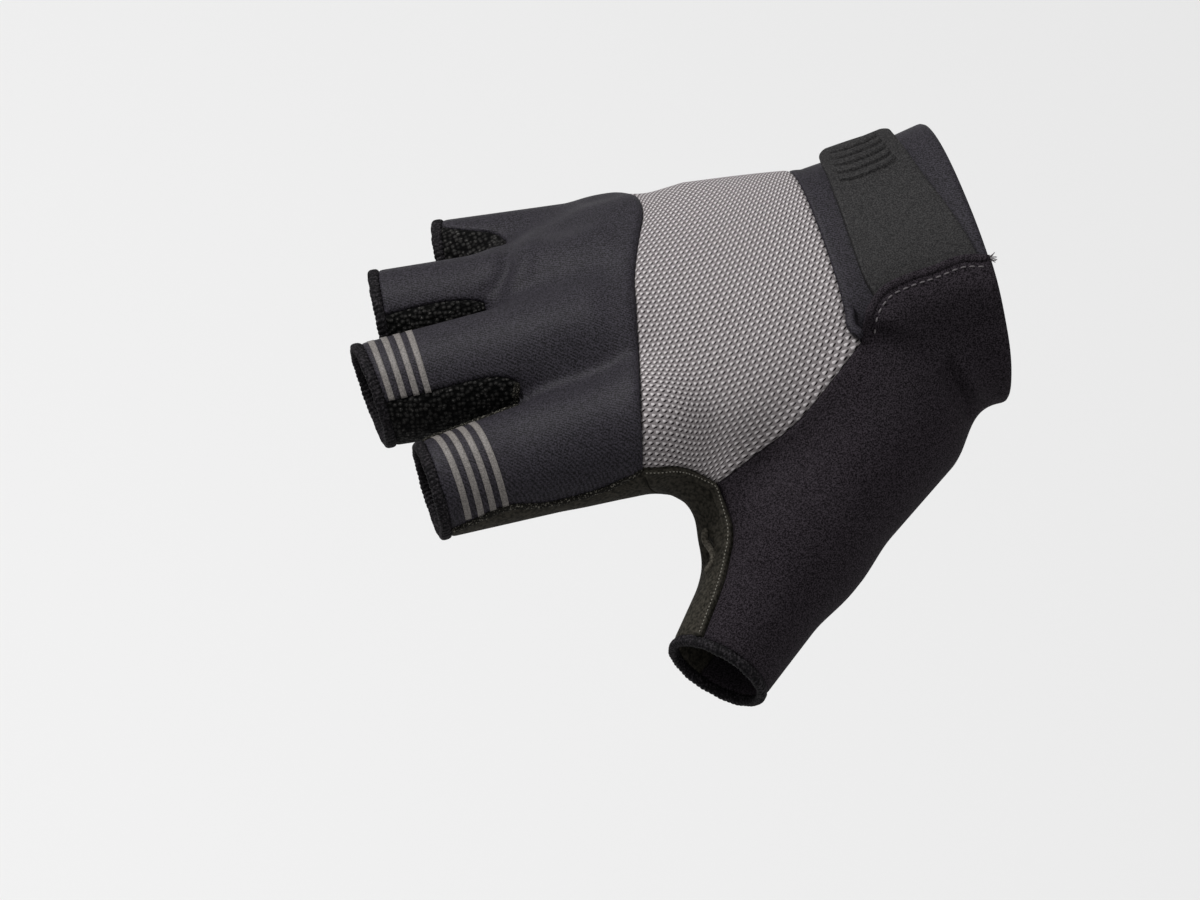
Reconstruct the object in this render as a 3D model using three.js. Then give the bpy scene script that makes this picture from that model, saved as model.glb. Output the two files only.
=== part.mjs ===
// Fingerless cycling glove for the right hand, in the form that it has when worn. Millimetres.
// Origin in the middle of the wrist opening, +X towards the forearm, fingers along -X,
// thumb towards -Y, back of the hand towards +Z.
import * as THREE from "three";

// Driving dimensions of the whole glove
const PALM_LENGTH = 104; // wrist opening to the web between index and middle
const PALM_BREADTH = 77; // across the knuckles, without the thumb
const PALM_DEPTH = 29.5; // back to palm across the knuckles
const WRIST_BREADTH = 68.6;
const WRIST_DEPTH = 45.4;
const ARCH_DROP = 9; // how far the little finger's edge hangs below the middle of the hand

// Driving dimensions of the stalls: length from the knuckle to the opening, then the two widths
const INDEX = { stall: 48, root: 27.6, opening: 21 };
const MIDDLE = { stall: 52, root: 28, opening: 22.4 };
const RING = { stall: 48.5, root: 21.2, opening: 20.8 };
const LITTLE = { stall: 40, root: 17.8, opening: 19.2 };
const THUMB_REACH = 33.9; // base joint to middle joint
const THUMB_STALL = 36; // middle joint to the opening
const THUMB_BASE_WIDTH = 36;
const THUMB_JOINT_WIDTH = 30;
const THUMB_OPENING = 22.4;

// Driving dimensions of the cloth, the hems and the strap
const STRETCH_WALL = 1.2;
const MESH_WALL = 1.4;
const SUEDE_WALL = 1.5;
const FLEECE_WALL = 1.5;
const SEAM_GAP = 0.3; // left between two panels, where the seam runs
const FOURCHETTE_INSET = 0.35; // the strips between the stalls stop this far short of their seams
const CROTCH_INSET = 0.75; // the gusset stops this far short of its sharply curved palm seam
const HEM_WIDTH = 2;
const HEM_THICKNESS = 1.8;
const TURNED_HEM_WIDTH = 2.4;
const TURNED_HEM_THICKNESS = 2.4;
const TURNED_HEM_ROUNDING = 0.3; // how much lower the turned hem's two edges are than its middle
const HEM_CORNER_EASE = 5.5; // length of hem over which the cloth comes down to the corner
const STRAP_THICKNESS = 2;
const STRAP_CLEARANCE = 0.3;
const STRAP_TUCK = 3.2; // how far the strap's root runs in below the thumb panel
const CUFF_TUCK = 4.2; // how far the cuff runs in below the thumb panel
const CUFF_TUCK_START = 6; // from the hem's corner, along the hem
const CUFF_TUCK_FULL = 11;
const RAISED_WIDTH = 4.7; // how far in from its hem the thumb panel stays at full height
const RAISED_SLOPE = 11; // and over what width it then comes down
const STRAP_END_LIFT = 1.2; // how far the free end springs off the cuff
const STRAP_CORNER = 3.5;
const RIB_COUNT = 5;
const RIB_PITCH = 2.4;
const RIB_HEIGHT = 0.5;
const RIB_MARGIN = 2.6; // from the strap's edges to the ribs

// Fillets between the forms under the cloth
const FINGER_BLEND = 5; // between the palm and a stall
const STALL_BLEND = 2; // between two stalls
const THUMB_BLEND = 10;
const WEB_BLEND = 6;
const END_BLEND = 8;
const WEB_LEAN = 0.3; // how much the cloth at a web bulges towards the fingertips

// How finely the panels are divided
const STRIP_COLUMNS = 6; // across each of the four finger strips
const KNUCKLE_ROWS = 4; // knuckle seam to finger web
const STALL_ROWS = 8; // finger web to opening
const HEM_LINE_ROWS = 6;
const THUMB_SEAM_ROWS = 4;
const CROTCH_ROWS = 5;
const GUSSET_COLUMNS = 6;
const THUMB_ROWS = 6;
const THUMB_COLUMNS = 10;
const FOURCHETTE_COLUMNS = 4;
const HEM_STEPS = 20; // round an opening
const HEM_SIDES = 6; // round a hem's section
const SMOOTHING_PASSES = 12;
const CUFF_ROWS = HEM_LINE_ROWS + 2 * CROTCH_ROWS - GUSSET_COLUMNS;
const STRAP_COLUMNS = 8;
const STRAP_PLAIN_ROWS = 8; // from the last rib to the root

const COLOURS = {
  stretch: { color: 0x1f1e21, roughness: 0.75, metalness: 0 },
  mesh: { color: 0x9b9999, roughness: 0.8, metalness: 0 },
  strap: { color: 0x2c2c2c, roughness: 0.6, metalness: 0 },
  fleece: { color: 0x1a191b, roughness: 0.95, metalness: 0 },
  suede: { color: 0x30302d, roughness: 0.95, metalness: 0 },
  knit: { color: 0x161616, roughness: 0.95, metalness: 0 },
};

// Sections of the hand's body. along: share of PALM_LENGTH from the wrist. side: middle of the
// section, share of PALM_BREADTH. breadth and depth: shares of the wrist's and the palm's sizes,
// mixed by the column palm (0 wrist, 1 palm). sink: share of PALM_DEPTH.
const BODY_SECTIONS = [
  { along: -0.19, side: 0, palm: 0, breadth: 1.08, depth: 1.1, sink: 0 },
  { along: 0, side: 0, palm: 0, breadth: 1, depth: 1, sink: 0 },
  { along: 0.135, side: 0, palm: 0, breadth: 0.91, depth: 0.92, sink: 0 },
  { along: 0.27, side: 0, palm: 0.5, breadth: 0.853, depth: 1.01, sink: 0 },
  { along: 0.5, side: 0.038, palm: 1, breadth: 0.975, depth: 1.119, sink: 0 },
  { along: 0.72, side: 0.042, palm: 1, breadth: 1, depth: 1, sink: 0 },
  { along: 0.865, side: 0.04, palm: 1, breadth: 0.945, depth: 0.72, sink: 0.034 },
  { along: 1.06, side: 0.04, palm: 1, breadth: 0.89, depth: 0.5, sink: 0.068 },
];
const BODY_END = 0.952; // share of PALM_LENGTH
const SECTION_POWER = 2.3; // squareness of the hand's section, 2 is an ellipse
const ARCH_START = 0.145; // share of PALM_LENGTH
const ARCH_FULL = 0.625;
const THUMB_SIDE_ARCH = 0.35; // share of ARCH_DROP
const ARCH_WIDTH = 0.52; // share of PALM_BREADTH over which the edges hang down by ARCH_DROP
const ARCH_LIMIT = 1.4; // and how many times that width the arch goes on

// Knuckles (along, side and rise as shares of the palm's length, breadth and depth), the way that
// each finger points (spread to the little finger's side and droop, degrees), and its four seams,
// as angles round the finger from its back towards the thumb, at the web and at the opening.
const FINGERS = [
  { name: "index", size: INDEX, along: 0.769, side: -0.32, rise: 0.02, spread: 0.3, droop: 6.1,
    back: { web: -58, end: -55 }, thumbBack: { web: 95, end: 100 },
    palm: { web: -128, end: -130 }, thumbPalm: { web: 95, end: 100 }, slant: 0 },
  { name: "middle", size: MIDDLE, along: 0.798, side: -0.026, rise: 0.068, spread: 8.6, droop: 8.2,
    back: { web: -58, end: -60 }, thumbBack: { web: 45, end: 51 },
    palm: { web: -128, end: -130 }, thumbPalm: { web: 132, end: 130 }, slant: 4 },
  { name: "ring", size: RING, along: 0.74, side: 0.234, rise: -0.05, spread: 13.7, droop: 9.8,
    back: { web: -60, end: -70 }, thumbBack: { web: 30, end: 37 },
    palm: { web: -128, end: -130 }, thumbPalm: { web: 130, end: 125 }, slant: 1.5 },
  { name: "little", size: LITTLE, along: 0.64, side: 0.464, rise: -0.305, spread: 16.9, droop: 13.4,
    back: { web: -105, end: -112 }, thumbBack: { web: 6, end: -22 },
    palm: { web: -105, end: -112 }, thumbPalm: { web: 118, end: 108 }, slant: 1.5 },
];

// The bottoms of the three slots between the stalls. along: share of PALM_LENGTH. toNext: from the
// middle of the slot towards the next finger, share of that finger's root width. back, palm:
// height on either face, share of the fingers' radius. round: share of the slot's length over
// which it opens to its full width on the back.
const WEBS = [
  { along: 0.993, toNext: 0.06, back: 0.6, palm: -0.62, round: 0.25 },
  { along: 0.99, toNext: 0.1, back: 0.52, palm: -0.7, round: 0.4 },
  { along: 0.88, toNext: 0.11, back: 0.6, palm: -0.6, round: 0.3 },
];
const PALM_WEB_STEP = 0.035; // the palm's side of a slot ends further out, share of PALM_LENGTH
const PALM_ROUND = 0.15; // and opens over this share of its length
const SLOT_STEPS = [0.1, 0.25, 0.5, 0.75, 1]; // shares of a slot's length where its edge is drawn
const SLOT_CROWDING = 1; // power that crowds the rows of a stall towards its web

// The thumb: joints as shares of the palm's length, breadth and depth, directions in degrees.
const THUMB_BASE = { along: 0.255, side: -0.37, rise: -0.35 };
const THUMB_FIRST = { spread: -36.8, droop: 16.6 };
const THUMB_SECOND = { spread: -43.4, droop: 13 };
const THUMB_SEAMS = { inner: -16, palm: -144 }; // angles round the opening
// The skin between thumb and index finger, from the thumb to the hand
const CROTCH = [
  { along: 0.594, side: -0.665, rise: -0.74, radius: 0.135 },
  { along: 0.642, side: -0.47, rise: -0.339, radius: 0.08 },
];

// Seams as shares of the palm's length, breadth and depth. Each point is settled on to the form.
const KNUCKLE_SEAM = [
  { along: 0.68, side: 0.54, rise: -0.32 },
  { along: 0.618, side: 0.5, rise: 0.05 },
  { along: 0.61, side: 0.42, rise: 0.25 },
  { along: 0.623, side: 0.31, rise: 0.37 },
  { along: 0.66, side: 0.19, rise: 0.47 },
  { along: 0.7, side: 0.05, rise: 0.51 },
  { along: 0.737, side: -0.14, rise: 0.47 },
  { along: 0.78, side: -0.36, rise: 0.43 },
  { along: 0.798, side: -0.45, rise: 0.3 },
  { along: 0.805, side: -0.484, rise: 0.105 },
];
const CUFF_SEAM = [
  { along: 0.29, side: 0.415, rise: -0.15 },
  { along: 0.292, side: 0.4, rise: 0.2 },
  { along: 0.296, side: 0.31, rise: 0.44 },
  { along: 0.304, side: 0.08, rise: 0.62 },
  { along: 0.31, side: -0.15, rise: 0.6 },
  { along: 0.313, side: -0.27, rise: 0.5 },
  { along: 0.3, side: -0.327, rise: 0.42 },
];
const THUMB_SEAM = [
  { along: 0.3, side: -0.327, rise: 0.42 },
  { along: 0.355, side: -0.371, rise: 0.315 },
  { along: 0.435, side: -0.429, rise: 0.13 },
  { along: 0.541, side: -0.462, rise: -0.07 },
  { along: 0.654, side: -0.529, rise: -0.14 },
];
const GUSSET_TOP = [
  { along: 0.654, side: -0.529, rise: -0.14 },
  { along: 0.689, side: -0.513, rise: -0.045 },
  { along: 0.743, side: -0.495, rise: 0.06 },
  { along: 0.805, side: -0.484, rise: 0.105 },
];
const GUSSET_SEAM = [
  { along: 0.654, side: -0.529, rise: -0.14 },
  { along: 0.646, side: -0.595, rise: -0.26 },
  { along: 0.645, side: -0.655, rise: -0.342 },
  { along: 0.662, side: -0.71, rise: -0.43 },
  { along: 0.696, side: -0.783, rise: -0.488 },
];
const CROTCH_SEAM = [
  { along: 0.805, side: -0.484, rise: 0.105 },
  { along: 0.78, side: -0.47, rise: -0.2 },
  { along: 0.735, side: -0.462, rise: -0.48 },
  { along: 0.65, side: -0.46, rise: -0.86 },
  { along: 0.496, side: -0.5, rise: -1.12 },
];
const THUMB_UNDER_SEAM = [
  { along: 0.496, side: -0.5, rise: -1.12 },
  { along: 0.6, side: -0.65, rise: -1.2 },
];
const WRIST_UNDER_SEAM = [
  { along: 0, side: -0.2, rise: -0.7 },
  { along: 0.19, side: -0.29, rise: -0.8 },
  { along: 0.365, side: -0.4, rise: -1 },
  { along: 0.496, side: -0.5, rise: -1.12 },
];
const CUFF_SIDE_SEAM = [
  { along: 0, side: 0.445, rise: -0.12 },
  { along: 0.15, side: 0.42, rise: -0.13 },
  { along: 0.29, side: 0.415, rise: -0.15 },
];
const MESH_SIDE_SEAM = [
  { along: 0.29, side: 0.415, rise: -0.15 },
  { along: 0.5, side: 0.5, rise: -0.28 },
  { along: 0.68, side: 0.54, rise: -0.32 },
];
const INDEX_SIDE_SEAM = [
  { along: 0.805, side: -0.484, rise: 0.105 },
  { along: 0.887, side: -0.486, rise: -0.03 },
  { along: 1.01, side: -0.475, rise: -0.09 },
  { along: 1.086, side: -0.472, rise: -0.05 },
];
const HEM_LINE = [
  { along: 0, side: -0.231, rise: 0.69 },
  { along: 0.06, side: -0.21, rise: 0.69 },
  { along: 0.132, side: -0.212, rise: 0.64 },
  { along: 0.198, side: -0.214, rise: 0.61 },
  { along: 0.258, side: -0.24, rise: 0.55 },
  { along: 0.3, side: -0.327, rise: 0.42 },
];

// The lines that part the palm into finger strips, each through a place in the heel of the hand
// and one below the knuckles. The columns give their sides as shares of PALM_BREADTH.
const PALM_HEEL = { along: 0.25, rise: -0.75 };
const PALM_MIDDLE = { along: 0.6, rise: -0.6 };
const PALM_LINES = [
  { heelSide: -0.12, middleSide: -0.14 },
  { heelSide: 0.03, middleSide: 0.1 },
  { heelSide: 0.2, middleSide: 0.33 },
];

// The strap's two edges from its root to its free end
const STRAP_FINGER_EDGE = [
  { along: 0.247, side: -0.243, rise: 0.55 },
  { along: 0.257, side: -0.166, rise: 0.6 },
  { along: 0.255, side: -0.017, rise: 0.64 },
  { along: 0.25, side: 0.1, rise: 0.62 },
  { along: 0.243, side: 0.22, rise: 0.55 },
  { along: 0.237, side: 0.3, rise: 0.4 },
];
const STRAP_WRIST_EDGE = [
  { along: 0.022, side: -0.21, rise: 0.69 },
  { along: 0.029, side: -0.15, rise: 0.72 },
  { along: 0.046, side: -0.034, rise: 0.75 },
  { along: 0.066, side: 0.1, rise: 0.72 },
  { along: 0.077, side: 0.22, rise: 0.65 },
  { along: 0.08, side: 0.32, rise: 0.5 },
];

const vec = (x, y, z) => new THREE.Vector3(x, y, z);
const radians = THREE.MathUtils.degToRad;
const place = ({ along, side, rise }) =>
  vec(-along * PALM_LENGTH, side * PALM_BREADTH, rise * PALM_DEPTH);

// The smaller of two distances, with a fillet of about the radius k between the two forms
function blend(a, b, k) {
  const near = Math.max(k - Math.abs(a - b), 0) / k;
  return Math.min(a, b) - (near * near * k) / 4;
}

// Distance to a round cone with round ends
function cone(p, from, to, r0, r1) {
  const axis = to.clone().sub(from);
  const share = p.clone().sub(from).dot(axis) / axis.lengthSq();
  const t = THREE.MathUtils.clamp(share, 0, 1);
  return p.distanceTo(from.clone().addScaledVector(axis, t)) - (r0 + (r1 - r0) * t);
}

function direction({ spread, droop }) {
  const s = radians(spread);
  const d = radians(droop);
  return vec(-Math.cos(s) * Math.cos(d), Math.sin(s) * Math.cos(d), -Math.sin(d));
}

// A finger's axis: start, end, unit direction, the way its back faces and the way to the thumb
function axisOf(start, aim, length, rootRadius, openingRadius) {
  const up = vec(0, 0, 1).addScaledVector(aim, -aim.z).normalize();
  const toThumb = up.clone().cross(aim);
  const end = start.clone().addScaledVector(aim, length);
  return { start, end, aim, length, up, toThumb, rootRadius, openingRadius };
}

const fingers = FINGERS.map((row) => ({
  ...row,
  ...axisOf(place(row), direction(row), row.size.stall, row.size.root / 2, row.size.opening / 2),
}));
const thumbBase = place(THUMB_BASE);
const thumbJoint = thumbBase.clone().addScaledVector(direction(THUMB_FIRST), THUMB_REACH);
const thumb = {
  name: "thumb",
  slant: 0,
  ...axisOf(thumbJoint, direction(THUMB_SECOND), THUMB_STALL, THUMB_JOINT_WIDTH / 2, THUMB_OPENING / 2),
};
const crotch = CROTCH.map((row) => ({ centre: place(row), radius: row.radius * PALM_BREADTH }));

const halfBreadth = (s) =>
  (s.breadth * (WRIST_BREADTH + (PALM_BREADTH - WRIST_BREADTH) * s.palm)) / 2;
const halfDepth = (s) => (s.depth * (WRIST_DEPTH + (PALM_DEPTH - WRIST_DEPTH) * s.palm)) / 2;
const sections = BODY_SECTIONS.map((s) => ({
  x: -s.along * PALM_LENGTH,
  side: s.side * PALM_BREADTH,
  breadth: halfBreadth(s),
  depth: halfDepth(s),
  sink: s.sink * PALM_DEPTH,
}));

// The body's section at a place along the hand, straight between the rows of the table
function sectionAt(x) {
  let i = 0;
  while (i < sections.length - 2 && x < sections[i + 1].x) i += 1;
  const a = sections[i];
  const b = sections[i + 1];
  const t = THREE.MathUtils.clamp((x - a.x) / (b.x - a.x), 0, 1);
  const mix = (key) => a[key] + (b[key] - a[key]) * t;
  return { side: mix("side"), breadth: mix("breadth"), depth: mix("depth"), sink: mix("sink") };
}

// Distance to the hand's body: a squared ellipse whose edges hang down across the knuckles
function body(p) {
  const s = sectionAt(p.x);
  const along = -p.x / PALM_LENGTH;
  const ramp = THREE.MathUtils.smoothstep(along, ARCH_START, ARCH_FULL);
  const share = (p.y - s.side) / (ARCH_WIDTH * PALM_BREADTH);
  const side = THREE.MathUtils.clamp(share, -ARCH_LIMIT, ARCH_LIMIT);
  const drop = ramp * ARCH_DROP * side * side * (side > 0 ? 1 : THUMB_SIDE_ARCH);
  const u = Math.abs(p.y - s.side) / s.breadth;
  const v = Math.abs(p.z + s.sink + drop) / s.depth;
  const q = (u ** SECTION_POWER + v ** SECTION_POWER + 1e-9) ** (1 / SECTION_POWER);
  const slopeU = u ** (SECTION_POWER - 1) / s.breadth;
  const slopeV = v ** (SECTION_POWER - 1) / s.depth;
  const slope = q ** (1 - SECTION_POWER) * Math.hypot(slopeU, slopeV) + 1e-6;
  const sideDistance = THREE.MathUtils.clamp((q - 1) / slope, -60, 400);
  const endDistance = -BODY_END * PALM_LENGTH - p.x;
  return -blend(-sideDistance, -endDistance, END_BLEND);
}

// Distance from a point to the worn form, negative inside
function form(p) {
  const stalls = fingers.map((a) => cone(p, a.start, a.end, a.rootRadius, a.openingRadius));
  const hand = blend(body(p), stalls.reduce((f, d) => blend(f, d, STALL_BLEND)), FINGER_BLEND);
  const joint = THUMB_JOINT_WIDTH / 2;
  const base = cone(p, thumbBase, thumbJoint, THUMB_BASE_WIDTH / 2, joint);
  const tip = cone(p, thumbJoint, thumb.end, joint, THUMB_OPENING / 2);
  const web = cone(p, crotch[0].centre, crotch[1].centre, crotch[0].radius, crotch[1].radius);
  return blend(hand, blend(blend(base, tip, WEB_BLEND), web, WEB_BLEND), THUMB_BLEND);
}

function gradient(p) {
  const h = 0.05;
  const slope = (dx, dy, dz) =>
    (form(vec(p.x + dx, p.y + dy, p.z + dz)) - form(vec(p.x - dx, p.y - dy, p.z - dz))) / (2 * h);
  return vec(slope(h, 0, 0), slope(0, h, 0), slope(0, 0, h));
}

// Moves a point on to the form. A point on the wrist opening stays in the opening's plane.
function settle(start, steps = 8) {
  const p = start.clone();
  const onWrist = Math.abs(p.x) < 1e-6;
  for (let step = 0; step < steps; step += 1) {
    const g = gradient(p);
    if (onWrist) g.x = 0;
    p.addScaledVector(g, -form(p) / Math.max(g.lengthSq(), 1e-3));
  }
  return p;
}

// A smooth line through rough points, cut into equal lengths and settled on to the form
function seam(points, rows) {
  const line = new THREE.CatmullRomCurve3(points, false, "centripetal");
  return line.getSpacedPoints(rows).map((p) => settle(p));
}

const seamOf = (table, rows) => seam(table.map(place), rows);
const joined = (...lines) => lines.flatMap((line, i) => (i ? line.slice(1) : line));
const reversed = (line) => [...line].reverse();

// Point on a finger at a share of its length and at an angle from its back towards the thumb
function onFinger(a, share, degrees) {
  const angle = radians(degrees);
  const radius = a.rootRadius + (a.openingRadius - a.rootRadius) * share;
  const slanted = a.length * share - share * a.slant * 0.5 * (1 + Math.sin(angle));
  return a.start
    .clone()
    .addScaledVector(a.aim, slanted)
    .addScaledVector(a.up, radius * Math.cos(angle))
    .addScaledVector(a.toThumb, radius * Math.sin(angle));
}

// Where a stall's cloth stops and its hem begins, as a share of the stall
const clothEnd = (a) => 1 - (HEM_WIDTH + SEAM_GAP / 2) / a.length;

// One half of a slot's edge, from the web to the finger's hem. It opens like a parabola.
function slotHalf(a, web, angles, round) {
  const start = web.clone().sub(a.start).dot(a.aim) / a.length;
  return SLOT_STEPS.map((t) => {
    const share = start + (clothEnd(a) - start) * t;
    const seamPoint = onFinger(a, share, angles.web + (angles.end - angles.web) * t * t);
    const middle = web.clone().addScaledVector(a.aim, (share - start) * a.length);
    return middle.lerp(seamPoint, Math.sqrt(Math.min(t / round, 1)));
  });
}

// The edges of the slot between two fingers, on the back or on the palm, as two lines from the web
function slot(index, face) {
  const row = WEBS[index];
  const a = fingers[index];
  const b = fingers[index + 1];
  const x = -(row.along + (face === "back" ? 0 : PALM_WEB_STEP)) * PALM_LENGTH;
  const onAxis = (f) => f.start.clone().addScaledVector(f.aim, (x - f.start.x) / f.aim.x);
  const from = onAxis(a);
  const to = onAxis(b);
  const middle = from.y + a.rootRadius + to.y - b.rootRadius;
  const rise = (from.z + to.z) / 2 + (row[face] * (a.rootRadius + b.rootRadius)) / 2;
  const web = vec(x, middle / 2 + row.toNext * 2 * b.rootRadius, rise);
  const nearAngles = face === "back" ? a.back : a.palm;
  const farAngles = face === "back" ? b.thumbBack : b.thumbPalm;
  const round = face === "back" ? row.round : PALM_ROUND;
  const near = slotHalf(a, web, nearAngles, round);
  const far = slotHalf(b, web, farAngles, round);
  const line = new THREE.CatmullRomCurve3([...reversed(near), web, ...far], false, "centripetal");
  const webAt = near.length / (near.length + far.length);
  const half = (end) =>
    Array.from({ length: STALL_ROWS + 1 }, (_, i) => {
      const t = (i / STALL_ROWS) ** SLOT_CROWDING;
      return settle(line.getPoint(webAt + (end - webAt) * t));
    });
  return { near: half(0), far: half(1) };
}

// An arc round a stall between two angles, at the end of its cloth
function openingArc(a, fromAngle, toAngle, columns, share = clothEnd(a)) {
  return Array.from({ length: columns + 1 }, (_, i) =>
    settle(onFinger(a, share, fromAngle + ((toAngle - fromAngle) * i) / columns)),
  );
}

// A patch of cloth between four lines, settled on to the form: rows run from first to last,
// columns from left to right. Each row bulges between its ends like first and last do. Where a
// lean is given, it bulges at least like an arc between its ends' normals, leant that way.
function patch(left, right, first, last, lean = null) {
  const rows = left.length - 1;
  const columns = first.length - 1;
  const bulge = (line, j) => line[j].clone().sub(line[0].clone().lerp(line[columns], j / columns));
  const grid = left.map((_, i) => {
    const chord = left[i].distanceTo(right[i]);
    const normals = [left[i], right[i]].map((p) => gradient(p).normalize());
    const middle = normals[0].clone().add(normals[1]);
    if (lean) middle.add(lean);
    middle.normalize();
    const sagitta = (chord / 2) * Math.tan(normals[0].angleTo(normals[1]) / 4);
    return first.map((__, j) => {
      if (i === 0) return first[j];
      if (i === rows) return last[j];
      if (j === 0) return left[i];
      if (j === columns) return right[i];
      const u = j / columns;
      const out = bulge(first, j).lerp(bulge(last, j), i / rows);
      const more = 4 * u * (1 - u) * sagitta - out.dot(middle);
      if (lean && more > 0) out.addScaledVector(middle, more);
      return settle(left[i].clone().lerp(right[i], u).add(out));
    });
  });
  for (let pass = 0; pass < SMOOTHING_PASSES; pass += 1) spread(grid);
  return grid;
}

// Moves each inner point to the middle of its neighbours, on the form
function spread(grid) {
  for (let i = 1; i + 1 < grid.length; i += 1)
    for (let j = 1; j + 1 < grid[i].length; j += 1) {
      const sum = grid[i - 1][j].clone().add(grid[i + 1][j]).add(grid[i][j - 1]).add(grid[i][j + 1]);
      grid[i][j] = settle(sum.divideScalar(4), 3);
    }
}

const FLAT = () => 0;

// Joins patches into one sheet of shared points and closes it into a solid wall. inner and outer
// give the wall's two faces as heights above the form, at row i and column j of a patch. edgeAt
// gives how far an edge point is drawn in.
function sheet(patches, inner, outer, edgeAt = () => SEAM_GAP / 2) {
  const keys = new Map();
  const points = [];
  const quads = [];
  const pointAt = (p, low, high) => {
    const key = [p.x, p.y, p.z].map((v) => v.toFixed(4)).join();
    if (!keys.has(key)) {
      keys.set(key, points.length);
      points.push({ at: p, normal: gradient(p).normalize(), low, high, pull: [] });
    }
    return keys.get(key);
  };
  for (const grid of patches) {
    const ids = grid.map((row, i) =>
      row.map((p, j) => pointAt(p, inner(i, j, grid), outer(i, j, grid))),
    );
    for (let i = 0; i + 1 < ids.length; i += 1)
      for (let j = 0; j + 1 < ids[i].length; j += 1)
        quads.push([ids[i][j], ids[i][j + 1], ids[i + 1][j + 1], ids[i + 1][j]]);
  }
  facesOutward(points, quads);
  const rim = rimOf(quads);
  pullEdgesIn(points, rim, edgeAt);
  return closedWall(points, quads, rim);
}

// Turns the whole sheet over if its quads face against its points' normals
function facesOutward(points, quads) {
  const facing = quads.reduce((sum, quad) => {
    const [a, b, c, d] = quad.map((i) => points[i].at);
    return sum + c.clone().sub(a).cross(d.clone().sub(b)).dot(points[quad[0]].normal);
  }, 0);
  if (facing < 0) quads.forEach((quad) => quad.reverse());
}

// The edges that only one quad uses, in that quad's own order
function rimOf(quads) {
  const edges = new Map();
  for (const quad of quads)
    quad.forEach((from, k) => {
      const to = quad[(k + 1) % 4];
      if (edges.has(to + "_" + from)) edges.delete(to + "_" + from);
      else edges.set(from + "_" + to, [from, to]);
    });
  return [...edges.values()];
}

// Draws the rim inwards along the cloth, so that half of the seam's gap opens beside each panel
function pullEdgesIn(points, rim, edgeAt) {
  for (const [from, to] of rim) {
    const along = points[to].at.clone().sub(points[from].at).normalize();
    for (const id of [from, to])
      points[id].pull.push(points[id].normal.clone().cross(along).normalize());
  }
  for (const point of points) {
    if (!point.pull.length) continue;
    const [a, b = a] = point.pull;
    const pull = a.clone().add(b);
    const open = Math.max(1 + a.dot(b), 0.5);
    point.at = point.at.clone().addScaledVector(pull, edgeAt(point.at) / open);
  }
}

function closedWall(points, quads, rim) {
  const count = points.length;
  const positions = [];
  for (const level of ["high", "low"])
    for (const { at, normal, [level]: height } of points)
      positions.push(...at.clone().addScaledVector(normal, height).toArray());
  const faces = [];
  for (const [a, b, c, d] of quads) {
    faces.push(a, b, c, a, c, d);
    faces.push(count + a, count + c, count + b, count + a, count + d, count + c);
  }
  for (const [a, b] of rim) faces.push(b, a, count + a, b, count + a, count + b);
  const solid = new THREE.BufferGeometry();
  solid.setAttribute("position", new THREE.Float32BufferAttribute(positions, 3));
  solid.setIndex(faces);
  solid.computeVertexNormals();
  return solid;
}

// The slots' edges on the back and on the palm
const backWebs = [0, 1, 2].map((i) => slot(i, "back"));
const palmWebs = [0, 1, 2].map((i) => slot(i, "palm"));

// Seams that two panels share
const littleRows = CUFF_ROWS + THUMB_SEAM_ROWS + GUSSET_COLUMNS;
const knuckleSeam = seamOf(KNUCKLE_SEAM, 4 * STRIP_COLUMNS);
const cuffSeam = seamOf(CUFF_SEAM, 4 * STRIP_COLUMNS);
const thumbSeam = seamOf(THUMB_SEAM, THUMB_SEAM_ROWS);
const gussetTop = seamOf(GUSSET_TOP, GUSSET_COLUMNS);
const littleSide = joined(
  seamOf(CUFF_SIDE_SEAM, CUFF_ROWS),
  seamOf(MESH_SIDE_SEAM, littleRows - CUFF_ROWS),
);
littleSide[CUFF_ROWS] = cuffSeam[0];
littleSide[littleRows] = knuckleSeam[0];
gussetTop[GUSSET_COLUMNS] = knuckleSeam[4 * STRIP_COLUMNS];
thumbSeam[0] = cuffSeam[4 * STRIP_COLUMNS];
gussetTop[0] = thumbSeam[THUMB_SEAM_ROWS];

const [index, , , little] = fingers;
const indexSide = seam(
  [...INDEX_SIDE_SEAM.map(place), onFinger(index, clothEnd(index), index.thumbBack.end)],
  KNUCKLE_ROWS + STALL_ROWS,
);
indexSide[0] = gussetTop[GUSSET_COLUMNS];
const littleEnd = seam(
  [
    place(KNUCKLE_SEAM[0]),
    onFinger(little, 0.45, little.back.web),
    onFinger(little, clothEnd(little), little.back.end),
  ],
  KNUCKLE_ROWS + STALL_ROWS,
);
littleEnd[0] = knuckleSeam[0];

// The line from a point of the panel's near edge to a finger web
const toWeb = (start, lines) => seam([start, lines.near[0]], KNUCKLE_ROWS);

// Four strips that part at the webs. starts: the near edge from the little finger's side to the
// index finger's side; each strip's lines run from that edge to the stall's opening.
function comb(starts, lineTo, webs, outerLittle, outerIndex, angles) {
  const middles = webs.map((web, i) => joined(lineTo(i), web.near));
  const farSides = webs.map((web, i) => joined(lineTo(i), web.far));
  return fingers.map((finger, i) => {
    const thumbSide = i === 0 ? outerIndex : farSides[i - 1];
    const littleSideLine = i === 3 ? outerLittle : middles[i];
    const column = (3 - i) * STRIP_COLUMNS;
    const first = starts.slice(column, column + STRIP_COLUMNS + 1);
    const { from, to } = angles(finger);
    const last = openingArc(finger, from, to, STRIP_COLUMNS);
    last[0] = littleSideLine[littleSideLine.length - 1];
    last[STRIP_COLUMNS] = thumbSide[thumbSide.length - 1];
    return patch(littleSideLine, thumbSide, first, last);
  });
}

const wall = (thickness) => [() => -thickness, FLAT];

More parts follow.
